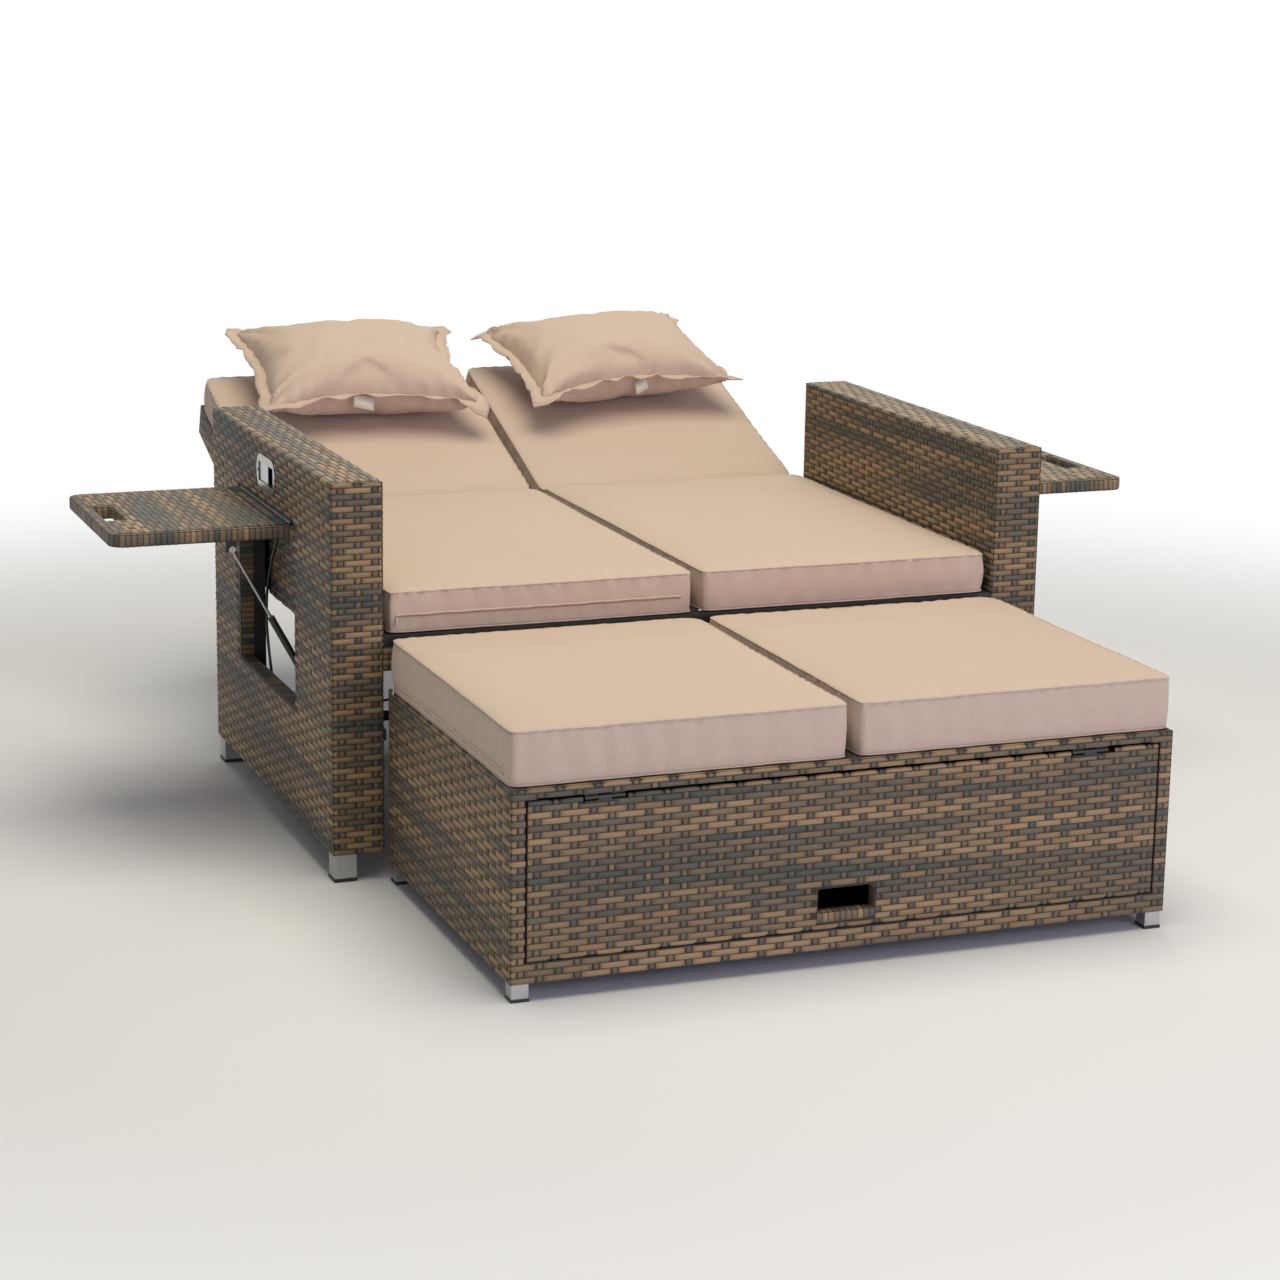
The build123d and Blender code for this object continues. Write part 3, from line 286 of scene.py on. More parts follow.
def coated_material(name, code, roughness, grain):
    """Moulded or powder-coated black: satin, with the fine orange peel of its coat or mould.

    grain is the size of that peel in metres.
    """
    material, tree = new_material(name)
    place = add(tree, "ShaderNodeTexCoord").outputs["Object"]
    peel = add(tree, "ShaderNodeTexNoise", {"Vector": place, "Scale": 1 / grain, "Detail": 2.0})
    dust = add(tree, "ShaderNodeTexNoise", {"Vector": place, "Scale": 9.0, "Detail": 4.0})
    colour = add(tree, "ShaderNodeMix", {0: dust, 6: linear(code), 7: linear("#2B2A29")},
                 data_type="RGBA")
    rough = add(tree, "ShaderNodeMapRange", {"Value": dust, "To Min": roughness - 0.06,
                                             "To Max": roughness + 0.1})
    bump = add(tree, "ShaderNodeBump", {"Strength": 0.25, "Distance": 0.0002, "Height": peel})
    shader = add(tree, "ShaderNodeBsdfPrincipled", {
        "Base Color": colour.outputs[2], "Roughness": rough, "Normal": bump})
    return finish_material(material, tree, shader)


def metal_material(name, code, roughness, stretch):
    """Bare metal: fine lines of its brushing or grinding, or clean polish where stretch is even.

    stretch is the number of the noise's cells to a metre along each axis.
    """
    material, tree = new_material(name)
    place = add(tree, "ShaderNodeTexCoord").outputs["Object"]
    lines = add(tree, VECTOR, (place, stretch), operation="MULTIPLY")
    lines = add(tree, "ShaderNodeTexNoise", {"Vector": lines, "Scale": 1.0, "Detail": 3.0})
    smear = add(tree, "ShaderNodeTexNoise", {"Vector": place, "Scale": 25.0, "Detail": 2.0})
    mixed = add(tree, MATH, (smear, 0.5, lines), operation="MULTIPLY_ADD")
    rough = add(tree, "ShaderNodeMapRange", {"Value": mixed, "From Max": 1.5,
                                             "To Min": roughness * 0.7, "To Max": roughness * 1.5})
    shine = add(tree, "ShaderNodeMix", {0: lines, 6: linear(code), 7: linear("#9FA0A1")},
                data_type="RGBA")
    bump = add(tree, "ShaderNodeBump", {"Strength": 0.12, "Distance": 0.0002, "Height": lines})
    shader = add(tree, "ShaderNodeBsdfPrincipled", {
        "Base Color": shine.outputs[2], "Metallic": 1.0, "Roughness": rough, "Normal": bump})
    return finish_material(material, tree, shader)


def ribbed_material(name, ribs, direction, low, high, bump, roughness):
    """Woven or coiled narrow ware: fine ribs along one axis, between two close colours.

    ribs is the wave's scale, and bump holds its strength and depth.
    """
    material, tree = new_material(name)
    place = add(tree, "ShaderNodeTexCoord").outputs["Object"]
    wave = add(tree, "ShaderNodeTexWave", {"Vector": place, "Scale": ribs},
               bands_direction=direction).outputs["Fac"]
    colour = add(tree, "ShaderNodeMix", {0: wave, 6: linear(low), 7: linear(high)},
                 data_type="RGBA")
    bump = add(tree, "ShaderNodeBump", {"Strength": bump[0], "Distance": bump[1], "Height": wave})
    shader = add(tree, "ShaderNodeBsdfPrincipled", {
        "Base Color": colour.outputs[2], "Roughness": roughness, "Normal": bump})
    return finish_material(material, tree, shader)


def cup_material(chrome, well):
    """Chromed flange round a well: bright polish at the face, dull and near black further in."""
    material, tree = new_material("Chromed flange and dark well")
    place = add(tree, "ShaderNodeTexCoord").outputs["Object"]
    out = add(tree, MATH, (add(tree, "ShaderNodeSeparateXYZ", (place,)).outputs[0],),
              operation="ABSOLUTE")
    # The well ends 623.2 mm from the middle of the sofa, and the flange begins 1 mm further out.
    face = add(tree, "ShaderNodeMapRange", {"Value": out, "From Min": 0.6232, "From Max": 0.6242})
    smear = add(tree, "ShaderNodeTexNoise", {"Vector": place, "Scale": 60.0, "Detail": 2.0})
    colour = add(tree, "ShaderNodeMix", {0: face, 6: linear(well), 7: linear(chrome)},
                 data_type="RGBA")
    rough = add(tree, MATH, (face, -0.34, 0.5), operation="MULTIPLY_ADD")
    rough = add(tree, MATH, (smear, 0.06, rough), operation="MULTIPLY_ADD")
    shader = add(tree, "ShaderNodeBsdfPrincipled", {
        "Base Color": colour.outputs[2], "Metallic": face, "Roughness": rough})
    return finish_material(material, tree, shader)


# ---------------------------------------------------------------- woven skins


WEAVE_SOCKETS = (
    ("Geometry", "Geometry", None), ("Path", "Object", None), ("Section", "Object", None),
    ("Ring", "Bool", False), ("Packed", "Bool", False), ("Across", "Vector", (0.0, 0.0, 1.0)),
    ("Row pitch", "Float", 0.0097), ("Warp pitch", "Float", 0.0283), ("Rise", "Float", 0.0021),
    ("Shift", "Float", 0.0), ("Seed", "Int", 0),
    *((f"Hole {hole} {end}", "Vector", (0.0, 0.0, 0.0)) for hole in "ABC"
      for end in ("low", "high")),
    ("Material", "Material", None))

# The two kinds of strand. grid: vertices along x and y. dip: power, depth and height of the
# strand's ends. size: share of a pair of warps and of a row. reach: how much of a pair it spans to
# each side. tone: weights of the fine drift, the broad bands and chance, and the base.
STRANDS = (
    {"name": "float", "grid": (11, 5), "dip": (6.0, -1.15, 1.0), "size": (0.825, 0.97),
     "reach": 0.4, "tone": (2.3, 1.5, 0.12, -1.40)},
    {"name": "warp", "grid": (5, 4), "dip": (3.0, -1.0, 0.85), "size": (0.148, 1.1),
     "reach": 0.0, "tone": (0.7, 0.5, 0.2, -0.34)})


def weave_tree():
    """Weave a skin: rows of long floats with short warps between them, along a path.

    A section carries the rows across the path, so that they can turn over an edge. Packed, the
    strands lie side by side across the path instead, as they do round an edge.
    """
    tree = bpy.data.node_groups.new("Woven skin", "GeometryNodeTree")
    tree.is_modifier = True
    for name, kind, start in WEAVE_SOCKETS:
        socket = tree.interface.new_socket(name, in_out="INPUT", socket_type="NodeSocket" + kind)
        if start is not None:
            socket.default_value = start
    tree.interface.new_socket("Geometry", in_out="OUTPUT", socket_type="NodeSocketGeometry")
    given = tree.nodes.new("NodeGroupInput").outputs
    path = add(tree, "GeometryNodeObjectInfo", {"Object": given["Path"]}).outputs["Geometry"]
    section = add(tree, "GeometryNodeObjectInfo", {"Object": given["Section"]}).outputs["Geometry"]
    length = add(tree, "GeometryNodeCurveLength", {"Curve": path})
    girth = add(tree, "GeometryNodeCurveLength", {"Curve": section})
    holes = [[add(tree, "ShaderNodeSeparateXYZ", (given[f"Hole {hole} {end}"],)).outputs
              for end in ("low", "high")] for hole in "ABC"]

    # How many pairs of warps lie along the path, and how many rows across it.
    double = add(tree, MATH, (given["Warp pitch"], 2.0), operation="MULTIPLY")
    wanted = add(tree, "GeometryNodeSwitch", {"Switch": given["Packed"], "False": double,
                                              "True": given["Row pitch"]}, input_type="FLOAT")
    pairs = add(tree, MATH, (length, wanted), operation="DIVIDE")
    pairs = add(tree, MATH, (pairs,), operation="ROUND")
    pairs = add(tree, MATH, (pairs, 1.0), operation="MAXIMUM")
    pair = add(tree, MATH, (length, pairs), operation="DIVIDE")
    rows = add(tree, MATH, (girth, given["Row pitch"]), operation="DIVIDE")
    rows = add(tree, MATH, (rows,), operation="ROUND")
    rows = add(tree, MATH, (rows, 1.0), operation="MAXIMUM")
    rows = add(tree, "GeometryNodeSwitch", {"Switch": given["Packed"], "False": rows, "True": 1.0},
               input_type="FLOAT")
    row_step = add(tree, MATH, (girth, rows), operation="DIVIDE")
    closed = add(tree, MATH, (given["Ring"], given["Packed"]), operation="MAXIMUM")
    spare = add(tree, MATH, (closed, -2.0, 2.0), operation="MULTIPLY_ADD")
    columns = add(tree, MATH, (pairs, spare), operation="ADD")
    count = add(tree, MATH, (rows, columns), operation="MULTIPLY")

    index = add(tree, "GeometryNodeInputIndex")
    row = add(tree, MATH, (index, 0.5), operation="ADD")
    row = add(tree, MATH, (row, columns), operation="DIVIDE")
    row = add(tree, MATH, (row,), operation="FLOOR")
    column = add(tree, MATH, (row, columns), operation="MULTIPLY")
    column = add(tree, MATH, (index, column), operation="SUBTRACT")
    column = add(tree, MATH, (spare, -0.5, column), operation="MULTIPLY_ADD")
    odd = add(tree, MATH, (row, 2.0), operation="MODULO")
    even = add(tree, MATH, (1.0, odd), operation="SUBTRACT")
    across = add(tree, MATH, (row, 0.5), operation="ADD")
    across = add(tree, MATH, (across, row_step), operation="MULTIPLY")
    packed = add(tree, MATH, (given["Packed"], 1.0), operation="MULTIPLY")
    loose = add(tree, MATH, (1.0, packed), operation="SUBTRACT")
    strand_row = add(tree, "GeometryNodeSwitch", {"Switch": given["Packed"], "False": row,
                                                  "True": column}, input_type="FLOAT")

    kinds = []
    for strand, offset in zip(STRANDS, (odd, even)):
        is_float = strand["name"] == "float"
        # One strand as a unit patch: half round across, dipping under its neighbours at the ends.
        patch = add(tree, "GeometryNodeMeshGrid", {"Vertices X": strand["grid"][0],
                                                   "Vertices Y": strand["grid"][1]})
        spot = add(tree, VECTOR, (add(tree, "GeometryNodeInputPosition"), (2.0, 2.0, 0.0)),
                   operation="MULTIPLY")
        spot_x, spot_y = add(tree, "ShaderNodeSeparateXYZ", (spot,)).outputs[:2]
        lengthwise, crosswise = (spot_x, spot_y) if is_float else (spot_y, spot_x)
        arch = add(tree, MATH, (crosswise, crosswise), operation="MULTIPLY")
        arch = add(tree, MATH, (arch, -0.86, 1.0), operation="MULTIPLY_ADD")
        arch = add(tree, MATH, (arch,), operation="SQRT")
        power, depth, height = strand["dip"]
        dip = add(tree, MATH, (lengthwise,), operation="ABSOLUTE")
        dip = add(tree, MATH, (dip, power), operation="POWER")
        dip = add(tree, MATH, (dip, depth, height), operation="MULTIPLY_ADD")
        lift = add(tree, MATH, (arch, dip), operation="MULTIPLY")
        patch = add(tree, "GeometryNodeStoreNamedAttribute",
                    {"Geometry": patch, "Name": "local", "Value": spot},
                    data_type="FLOAT_VECTOR", domain="POINT")
        patch = add(tree, "GeometryNodeSetPosition", {
            "Geometry": patch, "Offset": add(tree, "ShaderNodeCombineXYZ", {"Z": lift})})

        place = add(tree, MATH, (offset, 0.5, 0.25), operation="MULTIPLY_ADD")
        place = add(tree, "GeometryNodeSwitch", {"Switch": given["Packed"], "False": place,
                                                 "True": 0.5}, input_type="FLOAT")
        place = add(tree, MATH, (column, place), operation="ADD")
        place = add(tree, MATH, (place, pair, given["Shift"]), operation="MULTIPLY_ADD")
        spots = add(tree, "GeometryNodePoints", {
            "Count": count, "Position": add(tree, "ShaderNodeCombineXYZ", (place, across))})

        # Drop what lies off the path's ends or in a hole, and the warps of a packed edge.
        half = add(tree, MATH, (pair, strand["reach"]), operation="MULTIPLY")
        before = add(tree, MATH, (place, half), operation="ADD")
        before = add(tree, MATH, (before, 0.0), operation="LESS_THAN")
        after = add(tree, MATH, (place, half), operation="SUBTRACT")
        after = add(tree, MATH, (after, length), operation="GREATER_THAN")
        gone = add(tree, MATH, (before, after), operation="MAXIMUM")
        if not is_float:
            gone = add(tree, MATH, (gone, packed), operation="MAXIMUM")
        for low, high in holes:
            inside = None
            for value, side in ((place, 0), (across, 1)):
                for limit, way in ((low[side], "GREATER_THAN"), (high[side], "LESS_THAN")):
                    part = add(tree, MATH, (value, limit), operation=way)
                    inside = part if inside is None else add(
                        tree, MATH, (inside, part), operation="MINIMUM")
            gone = add(tree, MATH, (gone, inside), operation="MAXIMUM")
        spots = add(tree, "GeometryNodeStoreNamedAttribute", {
            "Geometry": spots, "Name": "centre", "Value": add(tree, "GeometryNodeInputPosition")},
            data_type="FLOAT_VECTOR", domain="POINT")

        # The colour drifts along each strand and, in bands, over several rows: so many turns of
        # the noise to a metre and to a row. A warp keeps its own colour across the rows.
        if is_float:
            drift = add(tree, MATH, (place, loose), operation="MULTIPLY")
            turns = ((drift, 2.2, strand_row, 0.48), (drift, 1.1, strand_row, 0.13))
        else:
            turns = ((place, 21.0, row, 0.05),) * 2
        fine, broad = (add(tree, "ShaderNodeTexNoise", {
            "Vector": add(tree, "ShaderNodeCombineXYZ", (
                add(tree, MATH, (lie, per_metre), operation="MULTIPLY"),
                add(tree, MATH, (line, per_row), operation="MULTIPLY"), given["Seed"])),
            "Scale": 1.0, "Detail": 1.0}) for lie, per_metre, line, per_row in turns)
        chance = add(tree, "ShaderNodeTexWhiteNoise", {
            "Vector": add(tree, "ShaderNodeCombineXYZ", (index, given["Seed"]))})
        wide, deep, jump, base = strand["tone"]
        tone = add(tree, MATH, (fine, wide, base), operation="MULTIPLY_ADD")
        tone = add(tree, MATH, (broad, deep, tone), operation="MULTIPLY_ADD")
        tone = add(tree, MATH, (chance, jump, tone), operation="MULTIPLY_ADD")
        tone = add(tree, MATH, (packed, -0.16, tone), operation="MULTIPLY_ADD", use_clamp=True)
        spots = add(tree, "GeometryNodeStoreNamedAttribute", {
            "Geometry": spots, "Name": "tone", "Value": tone}, data_type="FLOAT", domain="POINT")
        spots = add(tree, "GeometryNodeDeleteGeometry", {"Geometry": spots, "Selection": gone},
                    domain="POINT")

        size_x = add(tree, MATH, (pair, strand["size"][0]), operation="MULTIPLY")
        size_y = add(tree, MATH, (row_step, strand["size"][1]), operation="MULTIPLY")
        side_y = add(tree, MATH, (pair, 0.98), operation="MULTIPLY")
        size_x = add(tree, "GeometryNodeSwitch", {"Switch": given["Packed"], "False": size_x,
                                                  "True": girth}, input_type="FLOAT")
        size_y = add(tree, "GeometryNodeSwitch", {"Switch": given["Packed"], "False": size_y,
                                                  "True": side_y}, input_type="FLOAT")
        vary = add(tree, MATH, (chance, 0.3, 0.82), operation="MULTIPLY_ADD")
        size_z = add(tree, MATH, (vary, given["Rise"]), operation="MULTIPLY")
        quarter = add(tree, MATH, (packed, math.pi / 2), operation="MULTIPLY")
        strands = add(tree, "GeometryNodeInstanceOnPoints", {
            "Points": spots, "Instance": patch,
            "Rotation": add(tree, "ShaderNodeCombineXYZ", {"Z": quarter}),
            "Scale": add(tree, "ShaderNodeCombineXYZ", (size_x, size_y, size_z))})
        kinds.append(add(tree, "GeometryNodeRealizeInstances", (strands,)))
    strands = add(tree, "GeometryNodeJoinGeometry", (kinds[1],))
    tree.links.new(kinds[0].outputs[0], strands.inputs[0])

    # Hold the strands to the span and to the edges of the holes, on their own side of each.
    spot = add(tree, "GeometryNodeInputPosition")
    s, t, rise = add(tree, "ShaderNodeSeparateXYZ", (spot,)).outputs
    middle = add(tree, "GeometryNodeInputNamedAttribute", {"Name": "centre"},
                 data_type="FLOAT_VECTOR")
    mid_s, mid_t = add(tree, "ShaderNodeSeparateXYZ", (middle,)).outputs[:2]
    for low, high in holes:
        held = []
        for value, mid, own, other, other_mid in ((s, mid_s, 0, 1, mid_t), (t, mid_t, 1, 0, mid_s)):
            level = add(tree, MATH, (
                add(tree, MATH, (other_mid, low[other]), operation="GREATER_THAN"),
                add(tree, MATH, (other_mid, high[other]), operation="LESS_THAN")),
                operation="MINIMUM")
            under = add(tree, MATH, (mid, low[own]), operation="LESS_THAN")
            beyond = add(tree, MATH, (mid, high[own]), operation="GREATER_THAN")
            least = add(tree, MATH, (value, low[own]), operation="MINIMUM")
            most = add(tree, MATH, (value, high[own]), operation="MAXIMUM")
            kept = add(tree, "GeometryNodeSwitch", {
                "Switch": add(tree, MATH, (under, level), operation="MINIMUM"),
                "False": value, "True": least}, input_type="FLOAT")
            held.append(add(tree, "GeometryNodeSwitch", {
                "Switch": add(tree, MATH, (beyond, level), operation="MINIMUM"),
                "False": kept, "True": most}, input_type="FLOAT"))
        s, t = held
    turned = add(tree, MATH, (s, length), operation="FLOORED_MODULO")
    ended = add(tree, MATH, (s, 0.0), operation="MAXIMUM")
    ended = add(tree, MATH, (ended, length), operation="MINIMUM")
    s = add(tree, "GeometryNodeSwitch", {"Switch": given["Ring"], "False": ended, "True": turned},
            input_type="FLOAT")
    t = add(tree, MATH, (t, 0.0), operation="MAXIMUM")
    t = add(tree, MATH, (t, girth), operation="MINIMUM")
    swapped = add(tree, "ShaderNodeCombineXYZ", (t, s, given["Seed"]))
    plain = add(tree, "ShaderNodeCombineXYZ", (s, t, given["Seed"]))
    flat = add(tree, "GeometryNodeSwitch", {"Switch": given["Packed"], "False": plain,
                                            "True": swapped}, input_type="VECTOR")
    strands = add(tree, "GeometryNodeStoreNamedAttribute", {
        "Geometry": strands, "Name": "flat", "Value": flat}, data_type="FLOAT_VECTOR",
        domain="POINT")

    # Lay them on the path and its section.
    on_path = add(tree, "GeometryNodeSampleCurve", {"Curves": path, "Length": s}, mode="LENGTH",
                  use_all_curves=True)
    on_section = add(tree, "GeometryNodeSampleCurve", {"Curves": section, "Length": t},
                     mode="LENGTH", use_all_curves=True)
    out = add(tree, VECTOR, (on_path.outputs["Tangent"], given["Across"]),
              operation="CROSS_PRODUCT")
    out = add(tree, VECTOR, (out,), operation="NORMALIZE")
    (place_n, place_a), (turn_n, turn_a) = (
        add(tree, "ShaderNodeSeparateXYZ", (on_section.outputs[name],)).outputs[:2]
        for name in ("Position", "Tangent"))
    step_n = add(tree, MATH, (rise, turn_a, place_n), operation="MULTIPLY_ADD")
    down = add(tree, MATH, (rise, turn_n), operation="MULTIPLY")
    step_a = add(tree, MATH, (place_a, down), operation="SUBTRACT")
    spot = add(tree, VECTOR, {0: out, "Scale": step_n}, operation="SCALE")
    spot = add(tree, VECTOR, (spot, on_path.outputs["Position"]), operation="ADD")
    shift = add(tree, VECTOR, {0: given["Across"], "Scale": step_a}, operation="SCALE")
    spot = add(tree, VECTOR, (spot, shift), operation="ADD")
    strands = add(tree, "GeometryNodeSetPosition", {"Geometry": strands, "Position": spot})
    strands = add(tree, "GeometryNodeSetShadeSmooth", (strands,))
    whole = add(tree, "GeometryNodeJoinGeometry", (strands,))
    tree.links.new(given["Geometry"], whole.inputs[0])
    whole = add(tree, "GeometryNodeRealizeInstances", (whole,))
    whole = add(tree, "GeometryNodeSetMaterial", {"Geometry": whole, "Material": given["Material"]})
    add(tree, "NodeGroupOutput", (whole,))
    return tree


def rounded(corners, radius, ring=False, steps=5):
    """A line through corners, each one turned in an arc."""
    corners = [Vector(corner) for corner in corners]
    points = []
    for i, corner in enumerate(corners):
        if not ring and i in (0, len(corners) - 1):
            points.append(corner)
            continue
        back = (corners[i - 1] - corner).normalized()
        ahead = (corners[(i + 1) % len(corners)] - corner).normalized()
        half = back.angle(ahead) / 2
        cut = radius / math.tan(half)
        centre = corner + (back + ahead).normalized() * radius / math.sin(half)
        first, last = corner + back * cut - centre, corner + ahead * cut - centre
        points += [centre + (first.lerp(last, k / steps)).normalized() * radius
                   for k in range(steps + 1)]
    return [p for i, p in enumerate(points) if i == 0 or (p - points[i - 1]).length > 1e-6]


def along(points, place, ring=False):
    """How far along a line its nearest point to a place is."""
    nearest, walked, found = None, 0.0, 0.0
    for a, b in zip(points, points[1:] + (points[:1] if ring else [])):
        step = b - a
        share = min(max((place - a).dot(step) / step.length_squared, 0.0), 1.0)
        gap = (a + step * share - place).length
        if nearest is None or gap < nearest:
            nearest, found = gap, walked + step.length * share
        walked += step.length
    return found


def line_object(name, points, ring):
    """A poly curve through points, linked to the scene."""
    curve = bpy.data.curves.new(name, "CURVE")
    curve.dimensions = "3D"
    spline = curve.splines.new("POLY")
    spline.points.add(len(points) - 1)
    for point, place in zip(spline.points, points):
        point.co = (*place, 1.0)
    spline.use_cyclic_u = ring
    obj = bpy.data.objects.new(name, curve)
    bpy.context.scene.collection.objects.link(obj)
    return obj


def panel(path, section, across, ring=False, packed=False, rise=None, holes=(), shift=0.0,
          warp=None):
    """One woven panel; a hole is two places on the path and two distances along the section."""
    spans = []
    for first, last, low, high in holes:
        s = sorted((along(path, Vector(first), ring), along(path, Vector(last), ring)))
        spans.append(((s[0], low, 0.0), (s[1], high, 0.0)))
    return {"path": path, "section": section, "across": across, "ring": ring, "packed": packed,
            "rise": rise, "holes": spans, "shift": shift, "warp": warp}


def weave(name, body, panels, place=None):
    """Weave panels into one mesh that rides on a body."""
    scene = bpy.context.scene
    settings = scene.lounger_weave
    tree = bpy.data.node_groups.get("Woven skin") or weave_tree()
    material = made("Round polyethylene strand", strand_material)
    base = bpy.data.objects.new(name + "_base", bpy.data.meshes.new(name + "_base"))
    scene.collection.objects.link(base)
    names = {item.name: item.identifier for item in tree.interface.items_tree
             if item.in_out == "INPUT"}
    lines = []
    for number, one in enumerate(panels):
        lines += [line_object(f"{name}_path_{number}", one["path"], one["ring"]),
                  line_object(f"{name}_section_{number}", one["section"], False)]
        modifier = base.modifiers.new(f"Weave {number}", "NODES")
        modifier.node_group = tree
        values = {"Path": lines[-2], "Section": lines[-1], "Ring": one["ring"],
                  "Packed": one["packed"], "Across": tuple(float(v) for v in one["across"]),
                  "Row pitch": settings.row_pitch, "Warp pitch": one["warp"] or settings.warp_pitch,
                  "Rise": one["rise"] or settings.rise, "Shift": one["shift"], "Material": material,
                  "Seed": settings.seed + number * 3 + len(name)}
        for letter, (low, high) in zip("ABC", one["holes"]):
            values[f"Hole {letter} low"] = low
            values[f"Hole {letter} high"] = high
        for key, value in values.items():
            modifier[names[key]] = value
    depsgraph = bpy.context.evaluated_depsgraph_get()
    mesh = bpy.data.meshes.new_from_object(base.evaluated_get(depsgraph),
                                           preserve_all_data_layers=True, depsgraph=depsgraph)
    for obj in lines:
        curve = obj.data
        bpy.data.objects.remove(obj)
        bpy.data.curves.remove(curve)
    bpy.data.objects.remove(base)
    mesh.name = name
    if place is not None:
        mesh.transform(place)
    piece = bpy.data.objects.new(name, mesh)
    scene.collection.objects.link(piece)
    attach(piece, body)
    return piece


def trim_to_cup(piece, cup, corner):
    """Open the weave where a release cup sits, and end the strands against its flange."""
    depth, sink = 0.03, 0.0012
    middle = (cup[0] + cup[1]) / 2
    half_y, half_z = (cup[1].y - cup[0].y) / 2 - corner, (cup[1].z - cup[0].z) / 2 - corner
    level = min(abs(cup[0].x), abs(cup[1].x)) + depth
    shape = bmesh.new()
    shape.from_mesh(piece.data)
    inside = set()
    for vertex in shape.verts:
        place = vertex.co
        if place.x * middle.x < 0 or abs(place.x) < level:
            continue
        y, z = place.y - middle.y, place.z - middle.z
        over_y, over_z = max(abs(y) - half_y, 0.0), max(abs(z) - half_z, 0.0)
        away = math.hypot(over_y, over_z)
        if away >= corner:
            continue
        inside.add(vertex)
        if away > corner * 0.5:
            grow = corner / away
            place.y = middle.y + math.copysign(min(abs(y), half_y) + over_y * grow, y)
            place.z = middle.z + math.copysign(min(abs(z), half_z) + over_z * grow, z)
            place.x -= math.copysign(min(sink, max(abs(place.x) - level, 0.0)), place.x)
    gone = [face for face in shape.faces if all(vertex in inside for vertex in face.verts)]
    bmesh.ops.delete(shape, geom=gone, context="FACES")
    shape.to_mesh(piece.data)
    shape.free()


def wrap(low, high, lap, radius):
    """The section of an edge: from one face, round the edge and back on the other face."""
    return rounded([(-lap, low, 0), (0, low, 0), (0, high, 0), (-lap, high, 0)], radius, steps=3)


def rect(x, y, z):
    """The corners of a rectangle at one height, anticlockwise seen from above."""
    return [(x[0], y[0], z), (x[1], y[0], z), (x[1], y[1], z), (x[0], y[1], z)]


def finish_node(node, material):
    """Give a CAD node its only material."""
    mesh = frame["nodes"][node].data
    mesh.materials.clear()
    mesh.materials.append(material)


def lay_painted_shade(*nodes):
    """Give woven CAD nodes a dark bed of painted shade that shows between the strands."""
    for node in nodes:
        finish_node(node, made("Dark strand bed", painted_shade_material))


class LOUNGER_OT_arms(bpy.types.Operator):
    """Weave the two arms: walls, tops and the linings of their table openings"""

    bl_idname = "lounger.arms"
    bl_label = "Arms"

    def execute(self, context):
        turn = context.scene.lounger_weave.edge_round
        low_z, high_z = 0.046, 0.651
        # The table's opening, how far its lining goes in and laps over its edge, and the bay on
        # the arm's inner side, under the rail of the seat.
        opening_y, opening_z, depth, lap = (-0.1268, 0.2492), (0.234, 0.548), 0.025, 0.003
        bay_y, bay_top = (-0.3108, 0.4322), 0.346
        screen_x, screen_low, screen_lap, screen_back = 0.5665, 0.341, 0.02, 0.012
        bend, lining_bend, lining_rise = 0.004, 0.0015, 0.0004
        warp, cup_corner = 0.0282, 0.0275
        for side, sign in SIDES:
            low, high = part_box("arm_wicker_" + side)
            x, y = (low.x, high.x), (low.y, high.y)
            outer, inner = (x[1], x[0]) if sign > 0 else (x[0], x[1])
            loop = rounded(rect(x, y, 0), turn, ring=True)
            wall = rounded([(0, low_z, 0), (0, high_z, 0), (-turn - STUB, high_z, 0)], turn)
            opening = ((outer, opening_y[0] - lap, 0), (outer, opening_y[1] + lap, 0),
                       opening_z[0] - lap - low_z, opening_z[1] + lap - low_z)
            bay = ((inner, bay_y[0], 0), (inner, bay_y[1], 0), -1.0, bay_top - low_z)
            top_x = (x[0] + turn, x[1] - turn)
            top = [Vector((0, y[1] - turn, high_z)), Vector((0, y[0] + turn, high_z))]
            ys = opening_y if sign > 0 else opening_y[::-1]
            mouth = [(0, ys[0], opening_z[0]), (0, ys[1], opening_z[0]),
                     (0, ys[1], opening_z[1]), (0, ys[0], opening_z[1])]
            face = -abs(outer)
            lining = rounded([(-lap, face, 0), (0, face, 0), (0, face + depth, 0)], lining_bend,
                             steps=3)
            # The inner skin, seen through the opening, is woven over the inner tubes.
            screen_y = (opening_y[0] - screen_lap, opening_y[1] + screen_lap)[::sign]
            screen = [Vector((sign * screen_x, v, 0)) for v in screen_y]
            screen_rows = rounded([(-screen_back, screen_low, 0), (0, screen_low, 0),
                                   (0, opening_z[1], 0)], bend, steps=3)
            piece = weave("arm_weave_" + side, "sofa", [
                panel(loop, wall, (0, 0, 1), ring=True, holes=(opening, bay),
                      shift=turn * HALF_CORNER, warp=warp),
                panel(top, [Vector((0, v, 0)) for v in top_x], (1, 0, 0)),
                panel(screen, screen_rows, (0, 0, 1)),
                panel(rounded(mouth, bend, ring=True), lining, (-sign, 0, 0), ring=True,
                      packed=True, rise=lining_rise)])
            trim_to_cup(piece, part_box("release_cup_" + side), cup_corner)
            lay_painted_shade("arm_wicker_" + side)
        return {"FINISHED"}


class LOUNGER_OT_seat_front(bpy.types.Operator):
    """Weave the cover of the rail under the front of the seat"""

    bl_idname = "lounger.seat_front"
    bl_label = "Seat front"

    def execute(self, context):
        back, bend = 0.012, 0.004
        low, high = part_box("seat_apron_wicker")
        path = [Vector((low.x, low.y, 0)), Vector((high.x, low.y, 0))]
        section = rounded([(-back, low.z, 0), (0, low.z, 0), (0, high.z, 0)], bend)
        weave("seat_front_weave", "sofa", [panel(path, section, (0, 0, 1))])
        lay_painted_shade("seat_apron_wicker")
        return {"FINISHED"}


